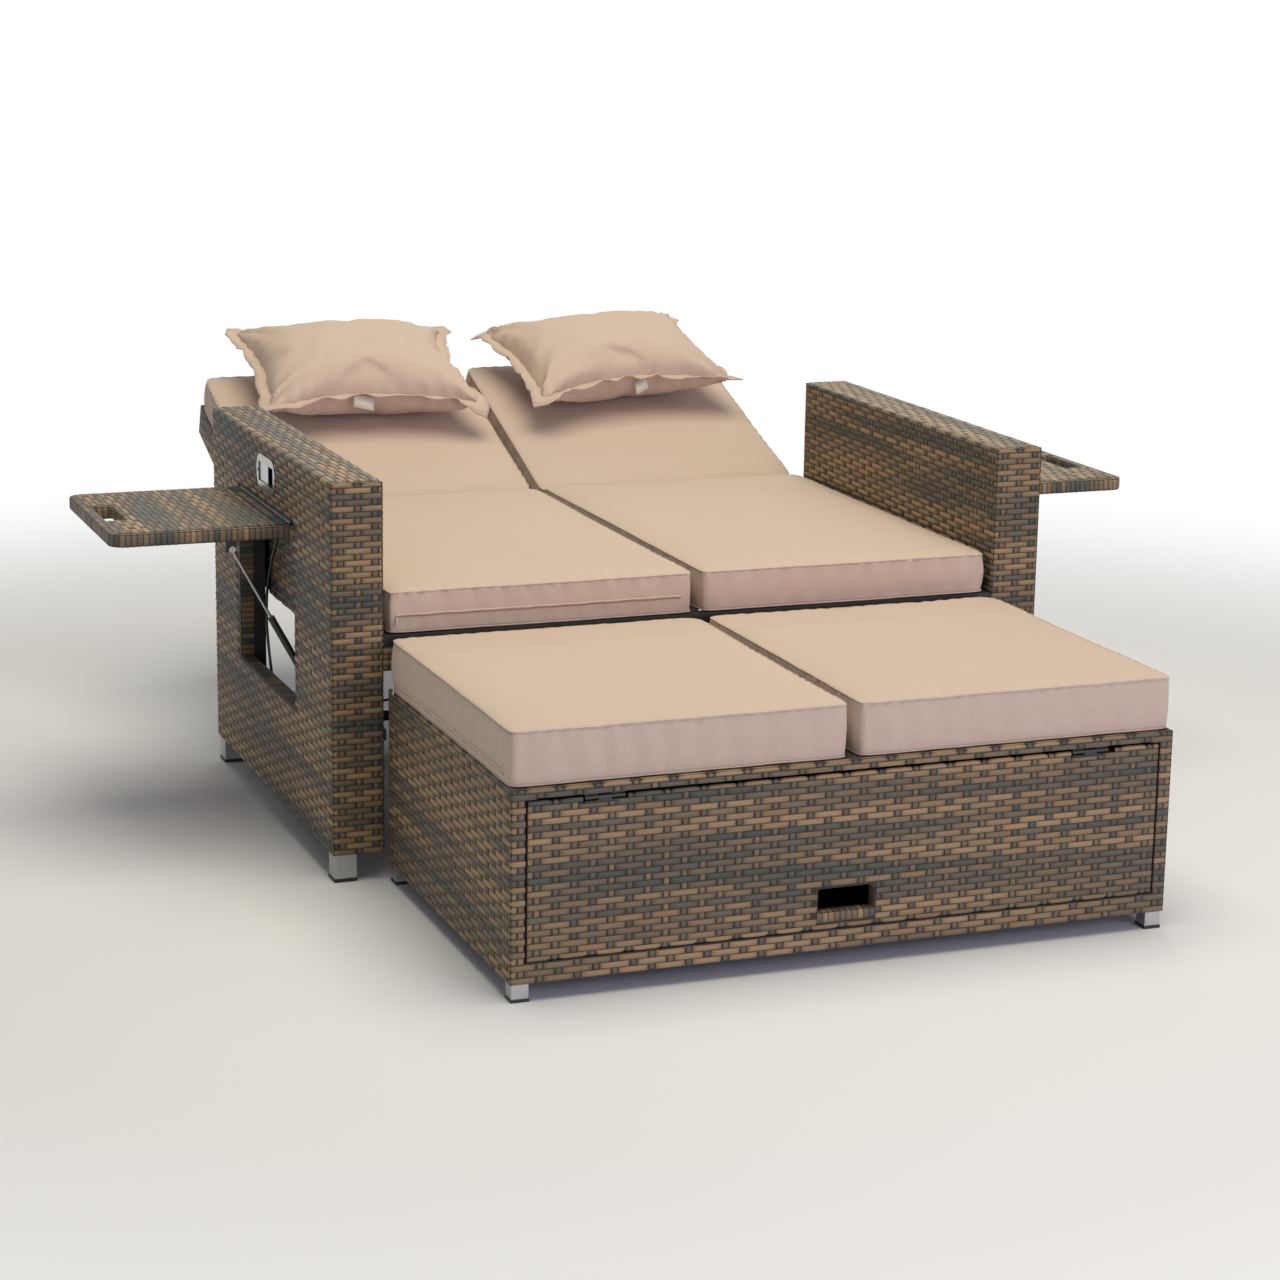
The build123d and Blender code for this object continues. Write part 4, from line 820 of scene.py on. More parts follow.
class LOUNGER_OT_tables(bpy.types.Operator):
    """Weave the two side tables: both faces, packed edges and the hand slots"""

    bl_idname = "lounger.tables"
    bl_label = "Side tables"

    def execute(self, context):
        settings = context.scene.lounger_weave
        slot_x, slot_y, edge, corner = (0.874, 0.908), (0.0007, 0.1217), 0.010, 0.024
        # The weave stops 8 mm short of the hand slot, and at the strut's and the hinge's plates.
        slot_gap, plate_y, plate_half = 0.008, (-0.075, 0.197), 0.024
        # The weave by the hinge: how far it starts from the table's inner edge and ends past the
        # hinge's leaf, how far it lies below the leaf's top, and how far short of the ends it is.
        from_edge, past_leaf, below_leaf, short = 0.003, 0.0005, 0.0021, 0.012
        # The strut lies against the underside of a folded table, so that weave is flatter.
        hinge_rise, top_rise, under_rise = 0.0012, 0.0018, 0.0008
        lap, bend, lip_bend = 0.001, 0.0025, 0.003
        for side, sign in SIDES:
            low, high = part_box("table_wicker_" + side)
            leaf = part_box("table_hinge_moving_leaf_" + side)
            near = max(abs(leaf[0].x), abs(leaf[1].x)) + past_leaf
            far = max(abs(low.x), abs(high.x))
            start = min(abs(low.x), abs(high.x))
            face_x = sorted((sign * near, sign * (far - edge)))
            slot = sorted(sign * v for v in slot_x)
            panels = []
            over = [Vector((0, v, leaf[1].z - below_leaf)) for v in (high.y - short, low.y + short)]
            plates = [((0, v - plate_half, 0), (0, v + plate_half, 0), -1.0, 1.0) for v in plate_y]
            span = sorted((sign * (start + from_edge), sign * near))
            panels.append(panel(over, [Vector((0, v, 0)) for v in span], (1, 0, 0),
                                rise=hinge_rise, holes=plates))
            for z, ys, rise in ((high.z, (high.y - edge, low.y + edge), top_rise),
                                (low.z, (low.y + edge, high.y - edge), under_rise)):
                path = [Vector((0, v, z)) for v in ys]
                hole = ((0, slot_y[0] - slot_gap, z), (0, slot_y[1] + slot_gap, z),
                        slot[0] - slot_gap - face_x[0], slot[1] + slot_gap - face_x[0])
                panels.append(panel(path, [Vector((0, v, 0)) for v in face_x], (1, 0, 0),
                                    rise=rise, holes=(hole,)))
            ys = (low.y, high.y) if sign > 0 else (high.y, low.y)
            outline = [(sign * start, ys[0], 0), (sign * far, ys[0], 0),
                       (sign * far, ys[1], 0), (sign * start, ys[1], 0)]
            panels.append(panel(rounded(outline, corner), wrap(low.z, high.z, edge + lap, bend),
                                (0, 0, 1), packed=True, rise=settings.edge_rise))
            lips = rounded(rect(slot, slot_y, 0)[::-1], lip_bend, ring=True)
            panels.append(panel(lips, wrap(low.z, high.z, slot_gap + lap, bend), (0, 0, 1),
                                ring=True, packed=True, rise=settings.edge_rise))
            weave("table_weave_" + side, "table_" + side, panels)
            lay_painted_shade("table_wicker_" + side)
        return {"FINISHED"}


def back_matrix():
    """The backs' own frame: X across, Y up the back and Z out of its face, from the pivots."""
    return Matrix.Translation(BACK_PIVOT) @ Matrix.Rotation(BACK_LEAN, 4, "X")


class LOUNGER_OT_backs(bpy.types.Operator):
    """Weave the sides and the undersides of the two backs"""

    bl_idname = "lounger.backs"
    bl_label = "Backs"

    def execute(self, context):
        turn = context.scene.lounger_weave.edge_round
        across, up, out = (0.003, 0.530), (0.020, 0.555), (-0.050, 0.010)
        # The foot of a back has no weave but near its corners.
        foot_corner, side_rise = 0.02, 0.0015
        for side, sign in SIDES:
            x = sorted(sign * v for v in across)
            loop = rounded(rect(x, up, 0), turn, ring=True)
            section = rounded([(-turn - STUB, out[0], 0), (0, out[0], 0), (0, out[1], 0),
                               (-turn - STUB, out[1], 0)], turn)
            foot = ((x[0] + foot_corner, up[0], 0), (x[1] - foot_corner, up[0], 0), -1.0, 1.0)
            under = [Vector((0, up[0] + turn, out[0])), Vector((0, up[1] - turn, out[0]))]
            span = [Vector((0, x[0] + turn, 0)), Vector((0, x[1] - turn, 0))]
            weave("back_weave_" + side, "back_" + side, [
                panel(loop, section, (0, 0, 1), ring=True, rise=side_rise, holes=(foot,)),
                panel(under, span, (1, 0, 0))], back_matrix())
            lay_painted_shade("back_wicker_" + side)
        return {"FINISHED"}


class LOUNGER_OT_ottoman(bpy.types.Operator):
    """Weave the ottoman's walls and its front flap with the hand slot"""

    bl_idname = "lounger.ottoman"
    bl_label = "Ottoman"

    def execute(self, context):
        settings = context.scene.lounger_weave
        turn = settings.edge_round
        low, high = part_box("ottoman_wicker")
        x, y, z = (low.x, high.x), (low.y, high.y), (low.z, high.z)
        loop = rounded(rect(x, y, 0), turn, ring=True)
        wall = rounded([(0, z[0], 0), (0, z[1], 0), (-turn - STUB, z[1], 0)], turn)
        mouth_x, mouth_z, warp = (-0.5135, 0.5135), (0.0585, 0.303), 0.0289
        mouth = ((mouth_x[0], y[0], 0), (mouth_x[1], y[0], 0), mouth_z[0] - z[0],
                 mouth_z[1] - z[0])
        weave("ottoman_weave", "ottoman", [
            panel(loop, wall, (0, 0, 1), ring=True, holes=(mouth,), shift=turn * HALF_CORNER,
                  warp=warp)])
        low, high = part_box("ottoman_flap_wicker")
        slot_x, slot_z, edge, lip = (-0.055, 0.037), (0.086, 0.123), 0.002, 0.016
        hinge_x, hinge_half, hinge_down = (-0.393, 0.393), 0.034, 0.0005
        # The weave turns in under the flap's lower edge, and back over a little above its top.
        inset, under, over, above, bend = 0.001, 0.004, 0.006, 0.0055, 0.0029
        top = high.z + above
        path = [Vector((low.x + inset, low.y, 0)), Vector((high.x - inset, low.y, 0))]
        front = rounded([(-under, low.z, 0), (0, low.z, 0), (0, top, 0), (-over, top, 0)],
                        bend, steps=3)
        # It stops at the slot and at the hinges. lead allows for the section's turn under the flap.
        lead = 0.002
        holes = [((slot_x[0] - edge, low.y, 0), (slot_x[1] + edge, low.y, 0),
                  slot_z[0] - lip - low.z + lead, slot_z[1] + edge - low.z + lead)]
        holes += [((v - hinge_half, low.y, 0), (v + hinge_half, low.y, 0),
                   high.z - low.z - hinge_down, 1.0) for v in hinge_x]
        sides = [(slot_x[1], 0, slot_z[0]), (slot_x[1], 0, slot_z[1]),
                 (slot_x[0], 0, slot_z[1]), (slot_x[0], 0, slot_z[0])]
        bar = [Vector((slot_x[0] - edge, 0, slot_z[0])), Vector((slot_x[1] + edge, 0, slot_z[0]))]
        weave("ottoman_flap_weave", "ottoman_flap", [
            panel(path, front, (0, 0, 1), holes=holes),
            panel(rounded(sides, 0.003), wrap(low.y, high.y, edge, 0.0015), (0, 1, 0), packed=True,
                  rise=0.0006),
            panel(bar, wrap(low.y - 0.001, high.y, lip, 0.004), (0, 1, 0), packed=True,
                  rise=settings.edge_rise)])
        lay_painted_shade("ottoman_wicker", "ottoman_flap_wicker")
        return {"FINISHED"}


# ---------------------------------------------------------------- cushions and pillows


class Shell:
    """A closed cloth shell: a top and a bottom grid joined round their edge by side rows."""

    def __init__(self, width, length, cell, side_rows):
        self.nx = max(8, round(width / cell))
        self.ny = max(8, round(length / cell))
        self.side_rows = side_rows
        self.number = {}
        self.points = []
        self.faces = []
        self.kind = []

    def vertex(self, key, point):
        if key not in self.number:
            self.number[key] = len(self.points)
            self.points.append(point)
            self.kind.append(key)
        return self.number[key]

    def edge_cells(self):
        """The grid's edge, anticlockwise from above."""
        nx, ny = self.nx, self.ny
        return ([(i, 0) for i in range(nx)] + [(nx, j) for j in range(ny)]
                + [(i, ny) for i in range(nx, 0, -1)] + [(0, j) for j in range(ny, 0, -1)])

    def build(self, place):
        """place(layer, i, j) gives a vertex: layer 0 is the bottom and side_rows the top."""
        top = self.side_rows
        for i in range(self.nx):
            for j in range(self.ny):
                for layer, order in ((top, 1), (0, -1)):
                    ring = [(i, j), (i + 1, j), (i + 1, j + 1), (i, j + 1)][::order]
                    self.faces.append([self.vertex((layer, *c), place(layer, *c)) for c in ring])
        edge = self.edge_cells()
        for layer in range(top):
            for a, b in zip(edge, edge[1:] + edge[:1]):
                ring = ((layer, *a), (layer, *b), (layer + 1, *b), (layer + 1, *a))
                self.faces.append([self.vertex(key, place(*key)) for key in ring])


def cloth_mesh(name, shell, uv):
    """Make a shell's mesh with its cloth UV in metres."""
    mesh = bpy.data.meshes.new(name)
    mesh.from_pydata(shell.points, [], shell.faces)
    layer = mesh.uv_layers.new(name="Cloth")
    for polygon in mesh.polygons:
        keys = [shell.kind[v] for v in polygon.vertices]
        for loop, place in zip(polygon.loop_indices, uv(keys)):
            layer.data[loop].uv = place
    mesh.polygons.foreach_set("use_smooth", [True] * len(mesh.polygons))
    return mesh


def read_points(mesh):
    """A mesh's vertices as an array with one row each."""
    points = np.empty(len(mesh.vertices) * 3)
    mesh.vertices.foreach_get("co", points)
    return points.reshape(-1, 3)


def write_points(mesh, points):
    """Put an array's rows back as a mesh's vertices."""
    mesh.vertices.foreach_set("co", points.reshape(-1))
    mesh.update()


def fit_points(points, sizes, grow):
    """Centre each axis and bring it to its size; where it may not grow, it only shrinks."""
    for axis, size in enumerate(sizes):
        least, most = points[:, axis].min(), points[:, axis].max()
        share = size / (most - least)
        points[:, axis] = (points[:, axis] - (most + least) / 2) * (
            share if grow else min(1.0, share))


def inflate(pieces, cap, pressure, frames):
    """Let the cloth swell under the pressure of its stuffing, within a cap, and keep the result."""
    if not pieces:
        return
    scene = bpy.context.scene
    for piece in pieces:
        cloth = piece.modifiers.new("Stuffing", "CLOTH")
        values = cloth.settings
        values.quality = 5
        values.mass = 0.25
        values.tension_stiffness = 14
        values.compression_stiffness = 14
        values.shear_stiffness = 6
        values.bending_stiffness = 0.35
        values.use_pressure = True
        values.uniform_pressure_force = pressure
        values.effector_weights.gravity = 0
        cloth.collision_settings.use_collision = False
        cloth.collision_settings.use_self_collision = False
        cloth.point_cache.frame_start = 1
        cloth.point_cache.frame_end = frames
    for number in range(1, frames + 1):
        scene.frame_set(number)
    depsgraph = bpy.context.evaluated_depsgraph_get()
    for piece in pieces:
        start = read_points(piece.data)
        step = read_points(piece.evaluated_get(depsgraph).to_mesh()) - start
        far = np.linalg.norm(step, axis=1, keepdims=True)
        step *= np.minimum(1.0, cap / np.maximum(far, 1e-9))
        piece.evaluated_get(depsgraph).to_mesh_clear()
        piece.modifiers.clear()
        write_points(piece.data, start + step)
    scene.frame_set(1)


def smooth_noise(place, scale, seed):
    """Smooth noise of about -1 to 1, the same on every run."""
    return 2 * noise_value(place[0] * scale + seed * 7.31, place[1] * scale - seed * 3.17,
                           place[2] * scale + seed * 1.93) - 1


def noise_value(x, y, z):
    """Value noise on a lattice, with a fixed hash."""
    def corner(i, j, k):
        value = math.sin(i * 127.1 + j * 311.7 + k * 74.7) * 43758.5453
        return value - math.floor(value)
    i, j, k = math.floor(x), math.floor(y), math.floor(z)
    u, v, w = (f * f * (3 - 2 * f) for f in (x - i, y - j, z - k))
    total = 0.0
    for a, wa in ((0, 1 - u), (1, u)):
        for b, wb in ((0, 1 - v), (1, v)):
            for c, wc in ((0, 1 - w), (1, w)):
                total += wa * wb * wc * corner(i + a, j + b, k + c)
    return total


def box_cushion(name, width, length, height, sag):
    """A box cushion before it is stuffed: sides drawn in between the corners, top gently crowned.

    Its lower edge may sag past what carries it.
    """
    settings = bpy.context.scene.lounger_cushion
    rows = max(4, round(height / settings.cell))
    shell = Shell(width, length, settings.cell, rows)
    bulge, draw, nip, dip, crown = 0.0016, 0.0016, 0.005, 0.002, 0.006

    def place(layer, i, j):
        u, v = 2 * i / shell.nx - 1, 2 * j / shell.ny - 1
        level = layer / rows
        out = bulge * (math.sin(math.pi * level) - 1)
        corner = abs(u * v) ** 12
        x = u * width / 2 + u * abs(u) ** 6 * (out - draw * (1 - v * v))
        y = v * length / 2 + v * abs(v) ** 6 * (out - draw * (1 - u * u))
        x -= math.copysign(nip * corner, u)
        y -= math.copysign(nip * corner, v)
        z = height * level - dip * corner * level
        z -= sag * max(u ** 8, v ** 8) * (1 - level)
        if layer == rows:
            z += crown * (1 - u ** 4) * (1 - v ** 6)
        return (x, y, z)

    shell.build(place)

    def uv(keys):
        flat = all(k[0] == rows for k in keys) or all(k[0] == 0 for k in keys)
        if flat:
            return [(k[1] * width / shell.nx, k[2] * length / shell.ny) for k in keys]
        along_x = len({k[2] for k in keys}) == 1
        return [(k[1] * width / shell.nx if along_x else k[2] * length / shell.ny,
                 k[0] * height / rows) for k in keys]

    piece = bpy.data.objects.new(name, cloth_mesh(name, shell, uv))
    bpy.context.scene.collection.objects.link(piece)
    # Lower seams, and an upper one at the rear, lie pressed and turn more tightly.
    seams = {}
    for layer in (0, rows):
        cells = shell.edge_cells()
        for a, b in zip(cells, cells[1:] + cells[:1]):
            pair = tuple(sorted((shell.number[(layer, *a)], shell.number[(layer, *b)])))
            seams[pair] = 0.95 if layer == 0 or a[1] == b[1] == shell.ny else 0.55
    crease = piece.data.attributes.new("crease_edge", "FLOAT", "EDGE")
    for edge in piece.data.edges:
        crease.data[edge.index].value = seams.get(tuple(sorted(edge.vertices)), 0.0)
    return piece, shell


def tube_along(mesh_name, points, radius, ring=True):
    """A fine round welt or cord through points, as a mesh."""
    holder = line_object(mesh_name, points, ring)
    curve = holder.data
    curve.bevel_depth = radius
    curve.bevel_resolution = 1
    curve.use_fill_caps = not ring
    depsgraph = bpy.context.evaluated_depsgraph_get()
    mesh = bpy.data.meshes.new_from_object(holder.evaluated_get(depsgraph))
    bpy.data.objects.remove(holder)
    bpy.data.curves.remove(curve)
    mesh.polygons.foreach_set("use_smooth", [True] * len(mesh.polygons))
    return mesh


def join(piece, meshes):
    """Join meshes, each with its material slot's number, to a piece's own mesh."""
    whole = bmesh.new()
    whole.from_mesh(piece.data)
    for mesh, slot_number in meshes:
        for polygon in mesh.polygons:
            polygon.material_index = slot_number
        if "Cloth" not in mesh.uv_layers:
            layer = mesh.uv_layers.new(name="Cloth")
            for polygon in mesh.polygons:
                for loop, vertex in zip(polygon.loop_indices, polygon.vertices):
                    place = mesh.vertices[vertex].co
                    layer.data[loop].uv = (place.x + place.z, place.y)
        whole.from_mesh(mesh)
    whole.to_mesh(piece.data)
    whole.free()


def subdivide(piece):
    """Divide a piece once, smoothly."""
    modifier = piece.modifiers.new("Smooth", "SUBSURF")
    modifier.levels = modifier.render_levels = 1
    depsgraph = bpy.context.evaluated_depsgraph_get()
    mesh = bpy.data.meshes.new_from_object(piece.evaluated_get(depsgraph),
                                           preserve_all_data_layers=True, depsgraph=depsgraph)
    piece.modifiers.clear()
    piece.data = mesh


def wrinkle(piece, width, length, height, seed):
    """Pull small gathers in along the seams, ripple the sides and lay soft folds over the top."""
    gather_pitch, gather_depth, gather_reach = 0.023, 0.0023, 0.016
    fold_depth, fold_reach = 0.0022, 0.03
    ripple_pitch, ripple_depth = 0.055, 0.0015
    mesh = piece.data
    normals = [vertex.normal.copy() for vertex in mesh.vertices]
    for vertex, normal in zip(mesh.vertices, normals):
        if normal.z < -0.5:
            continue
        x, y, z = vertex.co
        edge_x, edge_y = width / 2 - abs(x), length / 2 - abs(y)
        inward = max(min(edge_x, edge_y), 0.0)
        run = y if edge_x < edge_y else x
        on_side = abs(normal.z) < 0.5
        from_seam = min(abs(z - height), abs(z)) if on_side else inward
        gather = math.sin(run * math.tau / gather_pitch
                          + 3.2 * smooth_noise((x, y, 0.0), 11.0, seed))
        depth = gather_depth * math.exp(-from_seam / gather_reach) * (
            0.3 + 0.7 * abs(smooth_noise((x, y, z), 6.0, seed + 2)))
        shift = depth * (gather - 1) + fold_depth * smooth_noise((x, y, z), 7.0, seed + 4) * (
            1 - math.exp(-inward / fold_reach))
        if on_side:
            shift += ripple_depth * math.sin(run * math.tau / ripple_pitch + 4 * smooth_noise(
                (x, y, z), 4.0, seed + 6)) * math.sin(math.pi * min(max(z / height, 0.0), 1.0))
        vertex.co += normal * shift
    mesh.update()


def stuffed_cushion(kind, side, size, place, body, seed, top, sag=0.0, slide=None, zips=()):
    """A cushion's shell, ready to be stuffed, with all that finish_cushion needs.

    top is the height of its crown, and slide how much of its rear stays low. A zip has the side
    that it is in, where it starts and ends along that, its row and the end that has the pull.
    """
    piece, shell = box_cushion(f"{kind}_cushion_cover_{side}", *size, sag)
    return {"piece": piece, "shell": shell, "size": size, "place": place, "body": body,
            "node": f"{kind}_cushion_{side}", "seed": seed, "top": top, "sag": sag,
            "slide": slide, "zips": zips}


def zip_parts(name, shell, vertices, side, first, last, layer, pull_at):
    """A zip's coil, the fold of cloth over it and its pull, each with its material's number."""
    coil, fold, grip, drop = 0.0013, 0.0019, 0.0018, 0.014
    coil_out, fold_out, fold_up, pull_out, swing = 0.0003, 0.0008, 0.003, 0.003, 0.002
    push, axis, end = {"front": ((0, -1, 0), 1, 0), "low_x": ((-1, 0, 0), 0, 0),
                       "high_x": ((1, 0, 0), 0, shell.nx)}[side]
    push = Vector(push)
    cells = sorted(cell for cell in shell.edge_cells() if cell[axis] == end)
    cells = cells[int(len(cells) * first):int(len(cells) * last)]
    row = [vertices[shell.number[(layer, *cell)]].co + push * coil_out for cell in cells]
    over = [spot + push * fold_out + Vector((0, 0, fold_up)) for spot in row]
    pull = row[pull_at] + push * pull_out
    hang = [pull, pull + push * swing - Vector((0, 0, drop))]
    return [(tube_along(name + "_zip", row, coil, ring=False), 1),
            (tube_along(name + "_fold", over, fold, ring=False), 0),
            (tube_along(name + "_pull", hang, grip, ring=False), 2)]


def finish_cushion(job):
    """Sew the seams and zips of a stuffed cushion, place it and let it ride."""
    piece, shell = job["piece"], job["shell"]
    width, length, height = job["size"]
    welt = bpy.context.scene.lounger_cushion.welt
    points = read_points(piece.data)
    fit_points(points, (width, length), grow=False)
    # It lies flat on what carries it, and its crown stays as high as it was cut for.
    level = points[:, 2]
    squeeze = min(1.0, (job["top"] - height) / max(level.max() - height, 1e-6))
    points[:, 2] = np.where(level > height, height + (level - height) * squeeze,
                            np.maximum(level, -job["sag"]))
    write_points(piece.data, points)
    subdivide(piece)
    wrinkle(piece, width, length, height, job["seed"])
    if job["slide"]:
        # A seat cushion slides over the rear of this one, so that much of it stays low.
        low_top, rise, run = 0.0832, 0.02, 0.12
        for vertex in piece.data.vertices:
            share = min(max((length / 2 - job["slide"] - vertex.co.y) / run, 0.0), 1.0)
            most = low_top + rise * share * share * (3 - 2 * share)
            vertex.co.z = min(vertex.co.z, most)
    # Dividing keeps the first vertices' numbers, so the seams are found again by them.
    vertices = piece.data.vertices
    extra = []
    for layer in (0, shell.side_rows):
        seam = [vertices[shell.number[(layer, *cell)]].co.copy() for cell in shell.edge_cells()]
        if layer == 0:
            seam = [place + Vector((0, 0, welt)) for place in seam]
        extra.append((tube_along(piece.name + "_welt", seam, welt), 0))
    for one in job["zips"]:
        extra += zip_parts(piece.name, shell, vertices, *one)
    join(piece, extra)
    for material in (made("Outdoor polyester", cloth_material),
                     # Coiled nylon: a fine toothed line, a little darker than the cloth.
                     made("Nylon coil zip", ribbed_material, 160.0, "X", "#8E7868", "#B7A08E",
                          (0.5, 0.0004), 0.5),
                     # Plated zinc: bright and slightly rubbed.
                     made("Plated zinc pull", metal_material, "#A3A3A2", 0.28, (300.0,) * 3)):
        piece.data.materials.append(material)
    piece.data.transform(job["place"])
    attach(piece, job["body"])
    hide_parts(job["node"])


# The pillows. size: with the flange. up: its middle's place up the back. turn: in degrees. seam:
# how much higher the lower seam's middle stands. ears: how far each corner of the flange curls.
# label: width, and lean in degrees. The left one is a little fuller and has slid down its cushion.
PILLOWS = {
    "right": {"size": (0.458, 0.328, 0.136), "up": 0.437, "turn": 6.0, "seam": 0.022, "seed": 42,
              "ears": {(-1, 1): -0.034, (1, 1): -0.022, (-1, -1): -0.020, (1, -1): 0.014},
              "label": (0.026, 28)},
    "left": {"size": (0.458, 0.346, 0.140), "up": 0.424, "turn": -2.0, "seam": 0.014, "seed": 40,
             "ears": {(-1, 1): 0.006, (1, 1): 0.004, (-1, -1): -0.008, (1, -1): -0.030},
             "label": (0.042, -16)}}


class LOUNGER_OT_cushions(bpy.types.Operator):
    """Stuff and sew the seat, back and ottoman cushions"""

    bl_idname = "lounger.cushions"
    bl_label = "Cushions"

    def execute(self, context):
        jobs = []
        for number, (side, sign) in enumerate(SIDES):
            low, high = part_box("seat_cushion_" + side)
            jobs.append(stuffed_cushion(
                "seat", side, (0.5375, high.y - low.y + 0.004, 0.064),
                Matrix.Translation((sign * 0.2695, (low.y + high.y) / 2 - 0.002, low.z)),
                "seat_cushion_" + side, 11 + number, top=0.073, sag=0.0031,
                zips=(("front", 0.03, 0.97, 2, 0),) if side == "left" else ()))
            low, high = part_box("ottoman_cushion_" + side)
            jobs.append(stuffed_cushion(
                "ottoman", side, (0.5395, high.y - low.y - 0.001, 0.082),
                Matrix.Translation((sign * 0.27125, (low.y + high.y) / 2 - 0.001, low.z)),
                "ottoman", 21 + number, top=0.090, slide=0.092,
                zips=(("low_x" if side == "left" else "high_x", 0.06, 0.94, 1, -1),)))
            jobs.append(stuffed_cushion(
                "back", side, (0.535, 0.508, 0.063),
                back_matrix() @ Matrix.Translation((sign * 0.2685, 0.302, 0.0103)),
                "back_" + side, 31 + number, top=0.0715))
        inflate([job["piece"] for job in jobs], context.scene.lounger_cushion.swell, 2.0, 14)
        for job in jobs:
            finish_cushion(job)
        return {"FINISHED"}


class LOUNGER_OT_pillows(bpy.types.Operator):
    """Stuff the two flanged scatter pillows"""

    bl_idname = "lounger.pillows"
    bl_label = "Scatter pillows"

    def execute(self, context):
        flange = context.scene.lounger_cushion.flange
        jobs = []
        for side, sign in SIDES:
            width, length, thick = PILLOWS[side]["size"]
            inner = (width - 2 * flange, length - 2 * flange, thick)
            piece, shell = self.cut("pillow_cover_" + side, inner, PILLOWS[side]["seam"])
            jobs.append((piece, shell, side, sign, inner, flange))
        inflate([job[0] for job in jobs], 0.018, 5.0, 16)
        for job in jobs:
            self.sew(*job)
        return {"FINISHED"}

    def cut(self, name, inner, rise):
        """Two sheets sewn together; the seam stands higher in the middle of the lower edge."""
        cell, edge, pull = 0.0105, 0.0012, 0.085
        shell = Shell(inner[0], inner[1], cell, 1)

        def place(layer, i, j):
            u, v = 2 * i / shell.nx - 1, 2 * j / shell.ny - 1
            full = max((1 - abs(u) ** 3) * (1 - abs(v) ** 2.6), 0.0)
            swell = inner[2] / 2 * full ** 0.52 + edge
            x = u * inner[0] / 2 * (1 - pull * (1 - v * v) * abs(u) ** 3)
            y = v * inner[1] / 2 * (1 - pull * (1 - u * u) * abs(v) ** 3)
            seam = rise * (1 - u * u) * max(-v, 0.0) ** 2
            return (x, y, seam + (swell if layer else -swell))

        def uv(keys):
            return [(k[1] * inner[0] / shell.nx, k[2] * inner[1] / shell.ny) for k in keys]

        shell.build(place)
        piece = bpy.data.objects.new(name, cloth_mesh(name, shell, uv))
        bpy.context.scene.collection.objects.link(piece)
        return piece, shell

    def crease(self, mesh, half, sign, seed):
        """Draw creases in from the corners, gather the seams and fold the lower edge."""
        crease, crease_reach = 0.0085, 0.085
        gather, gather_reach, gather_pitch = 0.0042, 0.022, 0.034
        fold, fold_half, fold_reach = 0.0045, 0.009, 0.06
        swell, strength, hem = 0.0042, 0.85, 0.008
        normals = [vertex.normal.copy() for vertex in mesh.vertices]
        for vertex, normal in zip(mesh.vertices, normals):
            x, y, z = vertex.co
            depth = 0.0
            for cx, cy in ((-1, -1), (1, -1), (1, 1), (-1, 1)):
                dx, dy = x - cx * half.x, y - cy * half.y
                depth += crease * math.exp(-math.hypot(dx, dy) / crease_reach) * math.sin(
                    math.atan2(dy, dx) * 11 + seed * (cx + 2 * cy)
                    + 3.0 * smooth_noise((x, y, z), 12.0, seed))
            inward = max(min(half.x - abs(x), half.y - abs(y)), 0.0)
            run = y if half.x - abs(x) < half.y - abs(y) else x
            depth += gather * math.exp(-inward / gather_reach) * math.sin(
                run * math.tau / gather_pitch + 3.5 * smooth_noise((x, y, z), 10.0, seed + 1))
            # Three folds rise from the lower seam, as where the filling has shifted.
            for where, lean in ((0.01, 0.10), (0.045, 0.16), (0.105, 0.22)):
                off = x - where * sign - lean * (y + half.y)
                depth -= fold * math.exp(-(off / fold_half) ** 2) * math.exp(
                    -(y + half.y) / fold_reach)
            depth += swell * smooth_noise((x, y, z), 9.0, seed + 3)
            vertex.co += normal * depth * min(1.0, inward / hem) * strength
        mesh.update()

    def sew(self, piece, shell, side, sign, inner, flange):
        """Crease a stuffed pillow, add its flange and label, and lay it on its cushion."""
        pillow = PILLOWS[side]
        out_x, cushion_top = 0.262, 0.08075
        points = read_points(piece.data)
        fit_points(points, inner, grow=True)
        write_points(piece.data, points)
        subdivide(piece)
        mesh = piece.data
        half = Vector((inner[0] / 2, inner[1] / 2))
        self.crease(mesh, half, sign, pillow["seed"])
        low, high = ([mesh.vertices[shell.number[(layer, *cell)]].co for cell in shell.edge_cells()]
                     for layer in (0, 1))
        seam = [(a + b) / 2 for a, b in zip(low, high)]
        brim, rings, hang = self.brim(seam, half, flange, sign, pillow)
        extra = [(brim, 0)] + [(tube_along("stitch", ring, 0.0008), 0) for ring in rings]
        extra.append((self.label(hang, *pillow["label"]), 1))
        join(piece, extra)
        for material in (made("Pillow polyester", cloth_material),
                         # Sewn satin ribbon: white, with a soft shine, and blank.
                         made("Blank satin ribbon", ribbed_material, 300.0, "Z", "#F1EFEA",
                              "#E2DED6", (0.2, 0.0002), 0.45)):
            piece.data.materials.append(material)
        spot = (sign * out_x, pillow["up"], cushion_top + inner[2] / 2)
        piece.data.transform(back_matrix() @ Matrix.Translation(spot)
                             @ Matrix.Rotation(math.radians(pillow["turn"]), 4, "Z"))
        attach(piece, "back_" + side)
        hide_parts("pillow_" + side)

